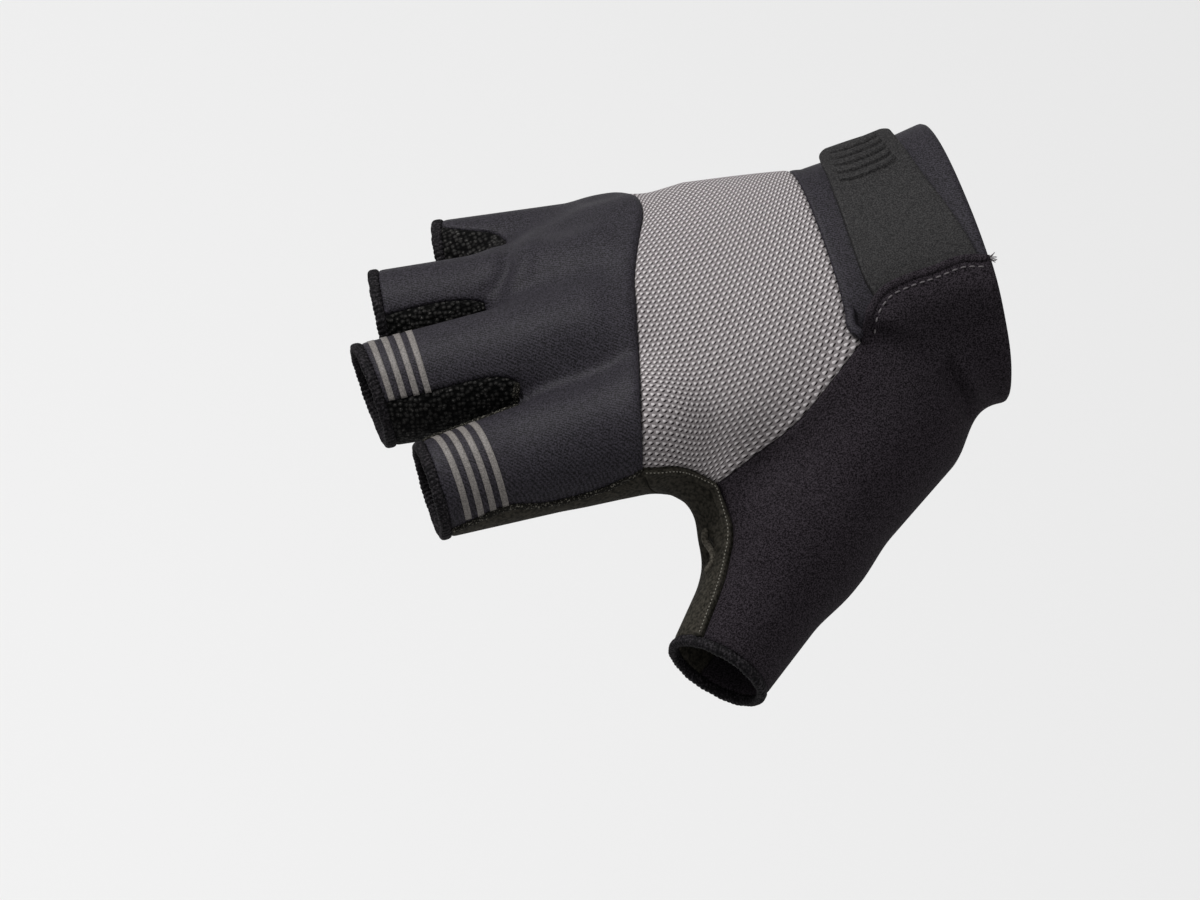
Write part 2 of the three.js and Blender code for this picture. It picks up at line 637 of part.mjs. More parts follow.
function knucklePanel() {
  const lineTo = (i) => toWeb(knuckleSeam[(3 - i) * STRIP_COLUMNS], backWebs[i]);
  const angles = (f) => ({ from: f.back.end, to: f.thumbBack.end });
  const strips = comb(knuckleSeam, lineTo, backWebs, littleEnd, indexSide, angles);
  return sheet(strips, ...wall(STRETCH_WALL));
}

function meshBackPanel() {
  const nearLittle = reversed(littleSide.slice(CUFF_ROWS));
  const nearThumb = joined(reversed(gussetTop), reversed(thumbSeam));
  return sheet([patch(nearLittle, nearThumb, knuckleSeam, cuffSeam)], ...wall(MESH_WALL));
}

// The turned hem's line over the strap, and how far the cloth there is raised to clear the strap
const hemLine = seamOf(HEM_LINE, HEM_LINE_ROWS);
const hemCorner = hemLine[HEM_LINE_ROWS];
const raisedHeight = STRAP_CLEARANCE + STRAP_THICKNESS + SEAM_GAP;
const fromCorner = (p, start, full) =>
  THREE.MathUtils.smoothstep(p.distanceTo(hemCorner), start, full);
const raise = (p) => raisedHeight * fromCorner(p, 2 * SEAM_GAP, HEM_CORNER_EASE);

// A line beside the hem line, on the thumb's side of it
function besideHem(distanceAt) {
  return hemLine.map((p, i) => {
    const ahead = hemLine[Math.min(i + 1, HEM_LINE_ROWS)];
    const behind = hemLine[Math.max(i - 1, 0)];
    const along = ahead.clone().sub(behind).normalize();
    const out = gradient(p).normalize().cross(along);
    const moved = p.clone().addScaledVector(out, distanceAt(p));
    if (i === 0) moved.x = 0;
    return settle(moved);
  });
}

// Where the turned hem is stitched down. The hem is half as wide at its corner.
const stitchLine = besideHem(
  (p) => TURNED_HEM_WIDTH * fromCorner(p, -HEM_CORNER_EASE, HEM_CORNER_EASE),
);

function cuffBand() {
  const edge = besideHem((p) => CUFF_TUCK * fromCorner(p, CUFF_TUCK_START, CUFF_TUCK_FULL));
  const thumbEnd = [];
  for (let i = 0; i <= CUFF_ROWS; i += 1) thumbEnd.push(pointAlong(edge, i / CUFF_ROWS));
  thumbEnd[CUFF_ROWS] = cuffSeam[4 * STRIP_COLUMNS];
  const wrist = wristArc(littleSide[0], thumbEnd[0], 4 * STRIP_COLUMNS);
  const nearLittle = littleSide.slice(0, CUFF_ROWS + 1);
  return sheet([patch(nearLittle, thumbEnd, wrist, cuffSeam)], ...wall(STRETCH_WALL));
}

// Point at a share of a line's length
function pointAlong(line, share) {
  const lengths = [0];
  for (let i = 1; i < line.length; i += 1)
    lengths.push(lengths[i - 1] + line[i].distanceTo(line[i - 1]));
  const want = share * lengths[lengths.length - 1];
  let i = 1;
  while (i < line.length - 1 && lengths[i] < want) i += 1;
  const t = (want - lengths[i - 1]) / (lengths[i] - lengths[i - 1]);
  return settle(line[i - 1].clone().lerp(line[i], THREE.MathUtils.clamp(t, 0, 1)));
}

// The wrist's edge, the shorter way round between two points of it
function wristArc(from, to, columns) {
  const angle = (p) => Math.atan2(p.z / WRIST_DEPTH, p.y / WRIST_BREADTH);
  const start = angle(from);
  const full = 2 * Math.PI;
  const turn = THREE.MathUtils.euclideanModulo(angle(to) - start + Math.PI, full) - Math.PI;
  return Array.from({ length: columns + 1 }, (_, i) => {
    const a = start + (turn * i) / columns;
    const rough = vec(0, (WRIST_BREADTH / 2) * Math.cos(a), (WRIST_DEPTH / 2) * Math.sin(a));
    if (i === 0) return from;
    if (i === columns) return to;
    return settle(rough);
  });
}

// The thumb's seams: inner (thumb panel to gusset) and under (both, below the thumb)
const gussetRows = CROTCH_ROWS + THUMB_ROWS;
const thumbEndAt = (degrees) => onFinger(thumb, clothEnd(thumb), degrees);
const gussetSeam = seam([...GUSSET_SEAM.map(place), thumbEndAt(THUMB_SEAMS.inner)], gussetRows);
gussetSeam[0] = gussetTop[0];
const crotchSeam = seamOf(CROTCH_SEAM, CROTCH_ROWS);
crotchSeam[0] = gussetTop[GUSSET_COLUMNS];
const underSeam = seam(
  [...THUMB_UNDER_SEAM.map(place), thumbEndAt(THUMB_SEAMS.palm)],
  THUMB_ROWS,
);
underSeam[0] = crotchSeam[CROTCH_ROWS];
const wristUnderRows = HEM_LINE_ROWS + THUMB_SEAM_ROWS + CROTCH_ROWS;
const wristUnder = seamOf(WRIST_UNDER_SEAM, wristUnderRows);
wristUnder[wristUnderRows] = crotchSeam[CROTCH_ROWS];

function thumbGusset() {
  const first = gussetTop;
  const last = openingArc(thumb, THUMB_SEAMS.inner, THUMB_SEAMS.palm, GUSSET_COLUMNS);
  last[0] = gussetSeam[gussetRows];
  last[GUSSET_COLUMNS] = underSeam[THUMB_ROWS];
  const far = joined(crotchSeam, underSeam);
  const cloth = patch(gussetSeam, far, first, last, vec(0, 0, 0));
  const edgeAt = (p) => (crotchSeam.includes(p) ? CROTCH_INSET : SEAM_GAP / 2);
  return sheet([cloth], ...wall(SUEDE_WALL), edgeAt);
}

function thumbPanel() {
  const corner = stitchLine[HEM_LINE_ROWS];
  const upper = joined(stitchLine, [corner, ...thumbSeam.slice(1)], gussetSeam);
  const under = joined(wristUnder, underSeam);
  const first = wristArc(upper[0], wristUnder[0], THUMB_COLUMNS);
  const last = openingArc(thumb, THUMB_SEAMS.inner, THUMB_SEAMS.palm + 360, THUMB_COLUMNS);
  last[0] = upper[upper.length - 1];
  last[THUMB_COLUMNS] = under[under.length - 1];
  const inner = (i, j, grid) => {
    if (i > HEM_LINE_ROWS) return -FLEECE_WALL;
    const away = grid[i][j].distanceTo(grid[i][0]);
    const down = THREE.MathUtils.smoothstep(away, RAISED_WIDTH, RAISED_WIDTH + RAISED_SLOPE);
    return underside(grid[i][0], 1 - down);
  };
  const cloth = patch(upper, under, first, last);
  return sheet([cloth], inner, (...at) => inner(...at) + FLEECE_WALL);
}

// Height of the fleece's inner face near a point of the hem, where it is raised by a share
const underside = (p, share = 1) =>
  raise(p) * share * (1 + FLEECE_WALL / raisedHeight) - FLEECE_WALL;

// The turned hem: three lines along its length, the middle one highest
function thumbPanelHem() {
  const middle = hemLine.map((p, j) => settle(p.clone().lerp(stitchLine[j], 0.5)));
  const inner = (i, j, grid) => underside(grid[i][j]);
  const outer = (i, j, grid) =>
    inner(i, j, grid) + TURNED_HEM_THICKNESS - (i === 1 ? 0 : TURNED_HEM_ROUNDING);
  return sheet([[hemLine, middle, stitchLine]], inner, outer);
}

function palmPanel() {
  const radial = joined(wristUnder, reversed(crotchSeam));
  const wrist = wristArc(littleSide[0], wristUnder[0], 4 * STRIP_COLUMNS);
  const outerLittle = joined(littleSide, littleEnd);
  const outerIndex = joined(radial, indexSide);
  const lineTo = (i) => {
    const start = wrist[(3 - i) * STRIP_COLUMNS];
    const heel = place({ ...PALM_HEEL, side: PALM_LINES[i].heelSide });
    const middle = place({ ...PALM_MIDDLE, side: PALM_LINES[i].middleSide });
    return seam([start, heel, middle, palmWebs[i].near[0]], littleRows + KNUCKLE_ROWS);
  };
  const angles = (f) => ({
    from: f.palm.end,
    to: f.thumbPalm.end - 360 * (f.thumbPalm.end > 0 ? 1 : 0),
  });
  const strips = comb(wrist, lineTo, palmWebs, outerLittle, outerIndex, angles);
  return sheet(strips, ...wall(SUEDE_WALL));
}

// The strip between two stalls, from one opening round the web to the next
function fourchette(i) {
  const backLine = joined(reversed(backWebs[i].near), backWebs[i].far);
  const palmLine = joined(reversed(palmWebs[i].near), palmWebs[i].far);
  const [a, b] = [fingers[i], fingers[i + 1]];
  const first = openingArc(a, a.back.end, a.palm.end, FOURCHETTE_COLUMNS);
  const last = openingArc(b, b.thumbBack.end, b.thumbPalm.end, FOURCHETTE_COLUMNS);
  first[0] = backLine[0];
  first[FOURCHETTE_COLUMNS] = palmLine[0];
  last[0] = backLine[backLine.length - 1];
  last[FOURCHETTE_COLUMNS] = palmLine[palmLine.length - 1];
  const outward = a.aim.clone().add(b.aim).multiplyScalar(WEB_LEAN);
  const cloth = patch(backLine, palmLine, first, last, outward);
  return sheet([cloth], ...wall(STRETCH_WALL), () => FOURCHETTE_INSET);
}

// A rounded band round an opening, its section carried round the stall
function openingHem(a) {
  const middle = 1 - HEM_WIDTH / 2 / a.length;
  const positions = [];
  const faces = [];
  for (let i = 0; i < HEM_STEPS; i += 1) {
    const centre = settle(onFinger(a, middle, (360 * i) / HEM_STEPS));
    const out = gradient(centre).normalize();
    for (let j = 0; j < HEM_SIDES; j += 1) {
      const angle = (2 * Math.PI * (j + 0.5)) / HEM_SIDES;
      const along = (Math.cos(angle) * HEM_WIDTH) / 2 / Math.cos(Math.PI / HEM_SIDES);
      const up = (Math.sin(angle) * HEM_THICKNESS) / 2 - STRETCH_WALL / 2;
      const p = centre.clone().addScaledVector(a.aim, along).addScaledVector(out, up);
      positions.push(...p.toArray());
      const next = (i + 1) % HEM_STEPS;
      const k = (j + 1) % HEM_SIDES;
      const [p0, p1] = [i * HEM_SIDES + j, i * HEM_SIDES + k];
      const [q0, q1] = [next * HEM_SIDES + j, next * HEM_SIDES + k];
      faces.push(p0, q0, q1, p0, q1, p1);
    }
  }
  const ring = new THREE.BufferGeometry();
  ring.setAttribute("position", new THREE.Float32BufferAttribute(positions, 3));
  ring.setIndex(faces);
  ring.computeVertexNormals();
  return ring;
}

// The strap: rows from its root to its free end, drawn in round the end's corners, with ribs
function closureStrap() {
  const steps = strapSteps();
  const fingerEdge = new THREE.CatmullRomCurve3(STRAP_FINGER_EDGE.map(place), false, "centripetal");
  const wristEdge = new THREE.CatmullRomCurve3(STRAP_WRIST_EDGE.map(place), false, "centripetal");
  const length = (fingerEdge.getLength() + wristEdge.getLength()) / 2;
  const grid = steps(length).map(({ fromEnd, rib }) => {
    const share = 1 - fromEnd / length;
    const a = fingerEdge.getPointAt(share);
    const b = wristEdge.getPointAt(share);
    const width = a.distanceTo(b);
    const short = Math.max(STRAP_CORNER - fromEnd, 0);
    const inset = STRAP_CORNER - Math.sqrt(STRAP_CORNER ** 2 - short ** 2);
    const row = Array.from({ length: STRAP_COLUMNS + 1 }, (_, j) =>
      settle(a.clone().lerp(b, inset / width + (j / STRAP_COLUMNS) * (1 - (2 * inset) / width))),
    );
    row.rib = rib;
    row.lift = STRAP_END_LIFT * THREE.MathUtils.smoothstep(-fromEnd, -length / 2, 0);
    return row;
  });
  const inner = (i) => STRAP_CLEARANCE + grid[i].lift;
  const onRib = (j) => j > 0 && j < STRAP_COLUMNS;
  const outer = (i, j) =>
    inner(i) + STRAP_THICKNESS + (grid[i].rib && onRib(j) ? RIB_HEIGHT : 0);
  return sheet([grid], inner, outer, () => 0);
}

// Distances of the strap's rows from its free end, and whether a row is a rib's top
function strapSteps() {
  const ribs = [];
  for (let k = 0; k < RIB_COUNT; k += 1) {
    const start = RIB_MARGIN + k * RIB_PITCH;
    ribs.push({ fromEnd: start, rib: false }, { fromEnd: start + 0.25 * RIB_PITCH, rib: true });
    ribs.push({ fromEnd: start + 0.5 * RIB_PITCH, rib: true });
    ribs.push({ fromEnd: start + 0.75 * RIB_PITCH, rib: false });
  }
  const ribEnd = RIB_MARGIN + RIB_COUNT * RIB_PITCH;
  return (length) => {
    const plain = Array.from({ length: STRAP_PLAIN_ROWS + 1 }, (_, k) => ({
      fromEnd: ribEnd + ((length - ribEnd) * k) / STRAP_PLAIN_ROWS,
      rib: false,
    }));
    const corner = [0, 0.1, 0.35].map((t) => ({ fromEnd: t * STRAP_CORNER, rib: false }));
    return [...corner, ...ribs, ...plain];
  };
}

const glove = new THREE.Group();

function add(name, geometry, look) {
  const mesh = new THREE.Mesh(geometry, new THREE.MeshStandardMaterial(COLOURS[look]));
  mesh.name = name;
  glove.add(mesh);
}

add("knuckle_panel", knucklePanel(), "stretch");
add("mesh_back_panel", meshBackPanel(), "mesh");
add("cuff_band", cuffBand(), "stretch");
add("closure_strap", closureStrap(), "strap");
add("thumb_panel", thumbPanel(), "fleece");
add("thumb_panel_hem", thumbPanelHem(), "fleece");
add("thumb_gusset", thumbGusset(), "suede");
add("palm_panel", palmPanel(), "suede");
["index_middle", "middle_ring", "ring_little"].forEach((pair, i) =>
  add("fourchette_" + pair, fourchette(i), "knit"),
);
[...fingers, thumb].forEach((a) => add("hem_" + a.name, openingHem(a), "knit"));

export default glove;
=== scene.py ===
# %% [markdown]
# # A fingerless cycling glove, panel by panel
# The real glove is sewn from about a dozen flat pieces of cloth that a hand fills out. Here every
# panel is a grid of points that lies on one formula for that filled-out form, so that neighbours
# meet along their seams without any modelling by eye. The frame gives the same pieces as plain
# solids, and this script builds their finished skins over them.

import bpy
import numpy as np
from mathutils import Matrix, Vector


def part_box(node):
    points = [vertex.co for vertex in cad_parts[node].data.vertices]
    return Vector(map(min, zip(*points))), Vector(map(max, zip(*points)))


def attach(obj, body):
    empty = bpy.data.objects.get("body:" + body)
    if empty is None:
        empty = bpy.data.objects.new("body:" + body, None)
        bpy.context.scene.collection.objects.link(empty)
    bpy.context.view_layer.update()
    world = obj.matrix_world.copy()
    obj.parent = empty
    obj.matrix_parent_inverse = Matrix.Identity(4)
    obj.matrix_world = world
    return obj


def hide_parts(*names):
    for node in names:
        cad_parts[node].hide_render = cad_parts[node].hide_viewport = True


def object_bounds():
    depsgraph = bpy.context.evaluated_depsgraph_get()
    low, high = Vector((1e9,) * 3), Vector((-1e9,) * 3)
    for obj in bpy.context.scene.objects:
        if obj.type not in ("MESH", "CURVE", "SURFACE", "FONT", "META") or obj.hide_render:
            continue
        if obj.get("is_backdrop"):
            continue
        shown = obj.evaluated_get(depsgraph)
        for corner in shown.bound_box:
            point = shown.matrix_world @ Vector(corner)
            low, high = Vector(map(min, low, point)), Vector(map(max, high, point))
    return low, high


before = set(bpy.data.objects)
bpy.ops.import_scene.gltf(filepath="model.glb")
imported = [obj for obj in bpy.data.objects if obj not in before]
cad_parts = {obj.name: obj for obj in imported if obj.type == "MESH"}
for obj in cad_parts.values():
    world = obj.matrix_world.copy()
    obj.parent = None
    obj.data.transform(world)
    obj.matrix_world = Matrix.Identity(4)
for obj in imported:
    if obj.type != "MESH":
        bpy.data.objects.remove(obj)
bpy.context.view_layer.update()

MM = 0.001  # the script works in millimetres and Blender in metres
print("frame", len(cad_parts), "nodes, size in mm:")

# %% [markdown]
# ## The form under the cloth
# A worn glove has the shape of the hand in it: a flattened barrel for the palm, tapered tubes for
# the fingers and the thumb, and soft hollows between them. A distance formula does this in a few
# lines: it gives how far a point is from the surface, and two shapes melt into each other where
# both distances are small. Modelling by hand would need every seam fitted again after each change.

# %% Sizes of the hand, in millimetres
PALM_LENGTH = 104
PALM_BREADTH = 77
PALM_DEPTH = 29.5
WRIST_BREADTH = 68.6
WRIST_DEPTH = 45.4
ARCH_DROP = 9
ARCH_START, ARCH_FULL = 0.145, 0.625
THUMB_SIDE_ARCH = 0.35
BODY_END = 0.952
SECTION_POWER = 2.3
FINGER_BLEND, STALL_BLEND, THUMB_BLEND, WEB_BLEND, END_BLEND = 5, 2, 10, 6, 8
HEM_WIDTH = 2
HEM_THICKNESS = 1.8
SEAM_GAP = 0.3
MEASURE = np.array([-PALM_LENGTH, PALM_BREADTH, PALM_DEPTH])
size_from_frame = [round(v / MM, 1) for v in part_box("knuckle_panel")[1]]
print("palm", PALM_LENGTH, "x", PALM_BREADTH, "x", PALM_DEPTH, "knuckle panel's top:", size_from_frame)

# %% Sections of the palm
# Columns: share of the palm's length from the wrist, middle (share of the breadth), mix from wrist
# sizes (0) to palm sizes (1), breadth and depth as shares of those sizes, sink (share of depth).
BODY_SECTIONS = np.array([
    [-0.19, 0, 0, 1.08, 1.1, 0],
    [0, 0, 0, 1, 1, 0],
    [0.135, 0, 0, 0.91, 0.92, 0],
    [0.27, 0, 0.5, 0.853, 1.01, 0],
    [0.5, 0.038, 1, 0.975, 1.119, 0],
    [0.72, 0.042, 1, 1, 1, 0],
    [0.865, 0.04, 1, 0.945, 0.72, 0.034],
    [1.06, 0.04, 1, 0.89, 0.5, 0.068],
])
along, side, palm, breadth, depth, sink = BODY_SECTIONS.T
SECTION = {
    "along": along * PALM_LENGTH,
    "side": side * PALM_BREADTH,
    "breadth": breadth * (WRIST_BREADTH + (PALM_BREADTH - WRIST_BREADTH) * palm) / 2,
    "depth": depth * (WRIST_DEPTH + (PALM_DEPTH - WRIST_DEPTH) * palm) / 2,
    "sink": sink * PALM_DEPTH,
}
print(len(along), "sections")


# %% Fingers and thumb
def place(along, side, rise):
    """A point from shares of the palm's length, breadth and depth."""
    return np.array([along, side, rise]) * MEASURE


def unit(v):
    """v divided by its length."""
    return v / np.maximum(np.linalg.norm(v, axis=-1, keepdims=True), 1e-12)


def stall(name, start, spread, droop, length, root, opening, slant=0.0, **seams):
    """A tapered tube: its start, direction (spread sideways, droop down), length and two widths."""
    s, d = np.radians([spread, droop])
    aim = np.array([-np.cos(s) * np.cos(d), np.sin(s) * np.cos(d), -np.sin(d)])
    up = unit(np.array([0, 0, 1]) - aim[2] * aim)
    return dict(name=name, start=start, aim=aim, up=up, to_thumb=np.cross(up, aim), length=length,
                root=root / 2, opening=opening / 2, slant=slant, end=start + aim * length, **seams)


# back, thumb_back, palm, thumb_palm: angles of the four seams at the web and at the opening
FINGERS = [
    stall("index", place(0.769, -0.32, 0.02), 0.3, 6.1, 48, 27.6, 21,
          back=(-58, -55), thumb_back=(95, 100), palm=(-128, -130), thumb_palm=(95, 100)),
    stall("middle", place(0.798, -0.026, 0.068), 8.6, 8.2, 52, 28, 22.4, slant=4,
          back=(-58, -60), thumb_back=(45, 51), palm=(-128, -130), thumb_palm=(132, 130)),
    stall("ring", place(0.74, 0.234, -0.05), 13.7, 9.8, 48.5, 21.2, 20.8, slant=1.5,
          back=(-60, -70), thumb_back=(30, 37), palm=(-128, -130), thumb_palm=(130, 125)),
    stall("little", place(0.64, 0.464, -0.305), 16.9, 13.4, 40, 17.8, 19.2, slant=1.5,
          back=(-105, -112), thumb_back=(6, -22), palm=(-105, -112), thumb_palm=(118, 108)),
]
THUMB_BASE_WIDTH, THUMB_JOINT_WIDTH, THUMB_REACH = 36, 30, 33.9
thumb_base = stall("thumb base", place(0.255, -0.37, -0.35), -36.8, 16.6, THUMB_REACH,
                   THUMB_BASE_WIDTH, THUMB_JOINT_WIDTH)
THUMB = stall("thumb", thumb_base["end"], -43.4, 13, 36, THUMB_JOINT_WIDTH, 22.4,
              inner=-16, palm=-144)
CROTCH = [place(0.594, -0.665, -0.74), place(0.642, -0.47, -0.339)]
CROTCH_RADII = np.array([0.135, 0.08]) * PALM_BREADTH
print("openings at", [tuple(np.round(f["end"], 1)) for f in [*FINGERS, THUMB]])


# %% The distance formula
def smoothstep(x, low, high):
    """0 below low, 1 above high and an S-curve between."""
    t = np.clip((x - low) / (high - low), 0, 1)
    return t * t * (3 - 2 * t)


def melt(a, b, k):
    """The smaller of two distances, with a fillet about k wide where both are small."""
    near = np.maximum(k - np.abs(a - b), 0) / k
    return np.minimum(a, b) - near * near * k / 4


def tube(p, start, end, r0, r1):
    """Distance to the axis from start to end, less a radius that goes evenly from r0 to r1."""
    axis = end - start
    t = np.clip((p - start) @ axis / (axis @ axis), 0, 1)
    return np.linalg.norm(p - start - t[..., None] * axis, axis=-1) - (r0 + (r1 - r0) * t)


def body(p):
    """|y/breadth|^power + |z/depth|^power = 1, with sizes that vary along the hand and edges that
    hang down; divided by its own slope, so that the result is a length."""
    along = -p[..., 0]
    at = {key: np.interp(along, SECTION["along"], SECTION[key]) for key in SECTION}
    ramp = smoothstep(along / PALM_LENGTH, ARCH_START, ARCH_FULL)
    side = np.clip((p[..., 1] - at["side"]) / (0.52 * PALM_BREADTH), -1.4, 1.4)
    drop = ramp * ARCH_DROP * side ** 2 * np.where(side > 0, 1, THUMB_SIDE_ARCH)
    u = np.abs(p[..., 1] - at["side"]) / at["breadth"]
    v = np.abs(p[..., 2] + at["sink"] + drop) / at["depth"]
    q = (u ** SECTION_POWER + v ** SECTION_POWER + 1e-9) ** (1 / SECTION_POWER)
    slope = q ** (1 - SECTION_POWER) * np.hypot(u ** (SECTION_POWER - 1) / at["breadth"],
                                               v ** (SECTION_POWER - 1) / at["depth"]) + 1e-6
    around = np.clip((q - 1) / slope, -60, 400)
    return -melt(-around, BODY_END * PALM_LENGTH + p[..., 0], END_BLEND)


def form(p):
    """Distance from the filled-out hand, negative inside."""
    stalls = [tube(p, a["start"], a["end"], a["root"], a["opening"]) for a in FINGERS]
    hand = stalls[0]
    for other in stalls[1:]:
        hand = melt(hand, other, STALL_BLEND)
    f = melt(body(p), hand, FINGER_BLEND)
    base = tube(p, thumb_base["start"], thumb_base["end"], thumb_base["root"], THUMB["root"])
    tip = tube(p, THUMB["start"], THUMB["end"], THUMB["root"], THUMB["opening"])
    web = tube(p, *CROTCH, *CROTCH_RADII)
    return melt(f, melt(melt(base, tip, WEB_BLEND), web, WEB_BLEND), THUMB_BLEND)


def gradient(p):
    """Slope of the distance along X, Y and Z, from points 0.05 mm to either side."""
    h = 0.05 * np.eye(3)
    return np.stack([(form(p + d) - form(p - d)) / 0.1 for d in h], axis=-1)


def settle(p, steps=8):
    """Moves points along the slope until they lie on the form. Points on the wrist opening, at
    x = 0, stay there."""
    p = np.array(p, float)
    free = np.ones_like(p)
    free[..., 0] = np.abs(p[..., 0]) > 1e-6
    for _ in range(steps):
        g = gradient(p) * free
        p -= g * (form(p) / np.maximum((g * g).sum(-1), 1e-3))[..., None]
    return p


test = settle(np.array([[-50.0, 0, 30], [-50, 0, -30]]))
print("the palm is", round(float(test[0, 2] - test[1, 2]), 1), "mm deep in the middle")


# %% [markdown]
# ## Seams
# Each seam is one smooth line through a few places on the hand, settled on to the form. Two panels
# that are sewn together use the very same points, which is what a real seam does to cloth too.
# Curve objects with a Shrinkwrap modifier could be drawn by eye instead, but then a change of the
# hand would move the form and leave the seams behind.

# %% Smooth lines
def line_at(points, u):
    """A centripetal Catmull-Rom line through points, at u = 0 for the first, 1 for the second..."""
    points = np.asarray(points, float)
    p = np.vstack([2 * points[0] - points[1], points, 2 * points[-1] - points[-2]])
    gap = np.sqrt(np.linalg.norm(np.diff(p, axis=0), axis=1))[:, None]
    k = np.minimum(np.asarray(u, float).astype(int), len(points) - 2)
    t = (u - k)[:, None]
    x0, x1, x2, x3 = (p[k + i] for i in range(4))
    d0, d1, d2 = (gap[k + i] for i in range(3))
    m1 = ((x1 - x0) / d0 - (x2 - x0) / (d0 + d1) + (x2 - x1) / d1) * d1
    m2 = ((x2 - x1) / d1 - (x3 - x1) / (d1 + d2) + (x3 - x2) / d2) * d1
    return (x1 + m1 * t + (3 * (x2 - x1) - 2 * m1 - m2) * t ** 2
            + (2 * (x1 - x2) + m1 + m2) * t ** 3)


def at_shares(line, shares):
    """Points of a polyline at shares of its length."""
    length = np.concatenate([[0], np.cumsum(np.linalg.norm(np.diff(line, axis=0), axis=1))])
    return np.stack([np.interp(shares * length[-1], length, line[:, k]) for k in range(3)], 1)


def seam(points, rows):
    """A smooth line through points, cut into equal lengths and settled on to the form."""
    dense = line_at(points, np.linspace(0, len(points) - 1, 60 * len(points)))
    return settle(at_shares(dense, np.linspace(0, 1, rows + 1)))


def seam_of(table, rows):
    """A seam through rows of (along, side, rise) shares."""
    return seam(np.array(table) * MEASURE, rows)


def fine_line(points, count):
    """count places on the smooth line through a few points, settled on to the form."""
    return settle(line_at(points, np.linspace(0, len(points) - 1, count)))


def joined(*lines):
    """Lines end to end, without the repeated points."""
    return np.vstack([lines[0], *(line[1:] for line in lines[1:])])


bend = line_at([(0, 0, 0), (1, 1, 0), (2, 0, 0)], np.array([0.5]))
print("a smooth line through three places, half way to the second:", np.round(bend[0], 2))

# %% How finely the seams are cut
STRIP_COLUMNS, KNUCKLE_ROWS, STALL_ROWS = 6, 4, 8
HEM_LINE_ROWS, THUMB_SEAM_ROWS, CROTCH_ROWS, GUSSET_COLUMNS = 6, 4, 5, 6
THUMB_ROWS, THUMB_COLUMNS, FOURCHETTE_COLUMNS = 6, 10, 4
CUFF_ROWS = HEM_LINE_ROWS + 2 * CROTCH_ROWS - GUSSET_COLUMNS
LITTLE_ROWS = CUFF_ROWS + THUMB_SEAM_ROWS + GUSSET_COLUMNS
GUSSET_ROWS = CROTCH_ROWS + THUMB_ROWS
UNDER_ROWS = HEM_LINE_ROWS + THUMB_SEAM_ROWS + CROTCH_ROWS
print("rows along the cuff, the little side and the gusset:", CUFF_ROWS, LITTLE_ROWS, GUSSET_ROWS)

# %% Seams of the back, as (along, side, rise) shares of the palm's sizes
knuckle_seam = seam_of([(0.68, 0.54, -0.32), (0.618, 0.5, 0.05), (0.61, 0.42, 0.25),
                        (0.623, 0.31, 0.37), (0.66, 0.19, 0.47), (0.7, 0.05, 0.51),
                        (0.737, -0.14, 0.47), (0.78, -0.36, 0.43), (0.798, -0.45, 0.3),
                        (0.805, -0.484, 0.105)], 4 * STRIP_COLUMNS)
cuff_seam = seam_of([(0.29, 0.415, -0.15), (0.292, 0.4, 0.2), (0.296, 0.31, 0.44),
                     (0.304, 0.08, 0.62), (0.31, -0.15, 0.6), (0.313, -0.27, 0.5),
                     (0.3, -0.327, 0.42)], 4 * STRIP_COLUMNS)
thumb_seam = seam_of([(0.3, -0.327, 0.42), (0.355, -0.371, 0.315), (0.435, -0.429, 0.13),
                      (0.541, -0.462, -0.07), (0.654, -0.529, -0.14)], THUMB_SEAM_ROWS)
gusset_top = seam_of([(0.654, -0.529, -0.14), (0.689, -0.513, -0.045), (0.743, -0.495, 0.06),
                      (0.805, -0.484, 0.105)], GUSSET_COLUMNS)
little_side = joined(
    seam_of([(0, 0.445, -0.12), (0.15, 0.42, -0.13), (0.29, 0.415, -0.15)], CUFF_ROWS),
    seam_of([(0.29, 0.415, -0.15), (0.5, 0.5, -0.28), (0.68, 0.54, -0.32)],
            LITTLE_ROWS - CUFF_ROWS))
little_side[CUFF_ROWS] = cuff_seam[0]
little_side[LITTLE_ROWS] = knuckle_seam[0]
gusset_top[-1] = knuckle_seam[-1]
thumb_seam[0] = cuff_seam[-1]
gusset_top[0] = thumb_seam[-1]
hem_line = seam_of([(0, -0.231, 0.69), (0.06, -0.21, 0.69), (0.132, -0.212, 0.64),
                    (0.198, -0.214, 0.61), (0.258, -0.24, 0.55), (0.3, -0.327, 0.42)],
                   HEM_LINE_ROWS)
hem_line[-1] = cuff_seam[-1]
print("knuckle seam", round(float(np.linalg.norm(np.diff(knuckle_seam, axis=0), axis=1).sum())), "mm")


# %% Seams along the stalls
def on_finger(a, share, degrees):
    """A point on a stall: share of its length, angle from its back towards the thumb."""
    share, angle = np.broadcast_arrays(np.asarray(share, float), np.radians(degrees))
    radius = a["root"] + (a["opening"] - a["root"]) * share
    slanted = a["length"] * share - share * a["slant"] * 0.5 * (1 + np.sin(angle))
    return (a["start"] + slanted[..., None] * a["aim"]
            + (radius * np.cos(angle))[..., None] * a["up"]
            + (radius * np.sin(angle))[..., None] * a["to_thumb"])


def cloth_end(a):
    """Where a stall's cloth stops and its hem begins, as a share of the stall."""
    return 1 - (HEM_WIDTH + SEAM_GAP / 2) / a["length"]


def opening_arc(a, start, end, columns):
    """An arc round a stall between two angles, at the end of its cloth."""
    return settle(on_finger(a, cloth_end(a), np.linspace(start, end, columns + 1)))


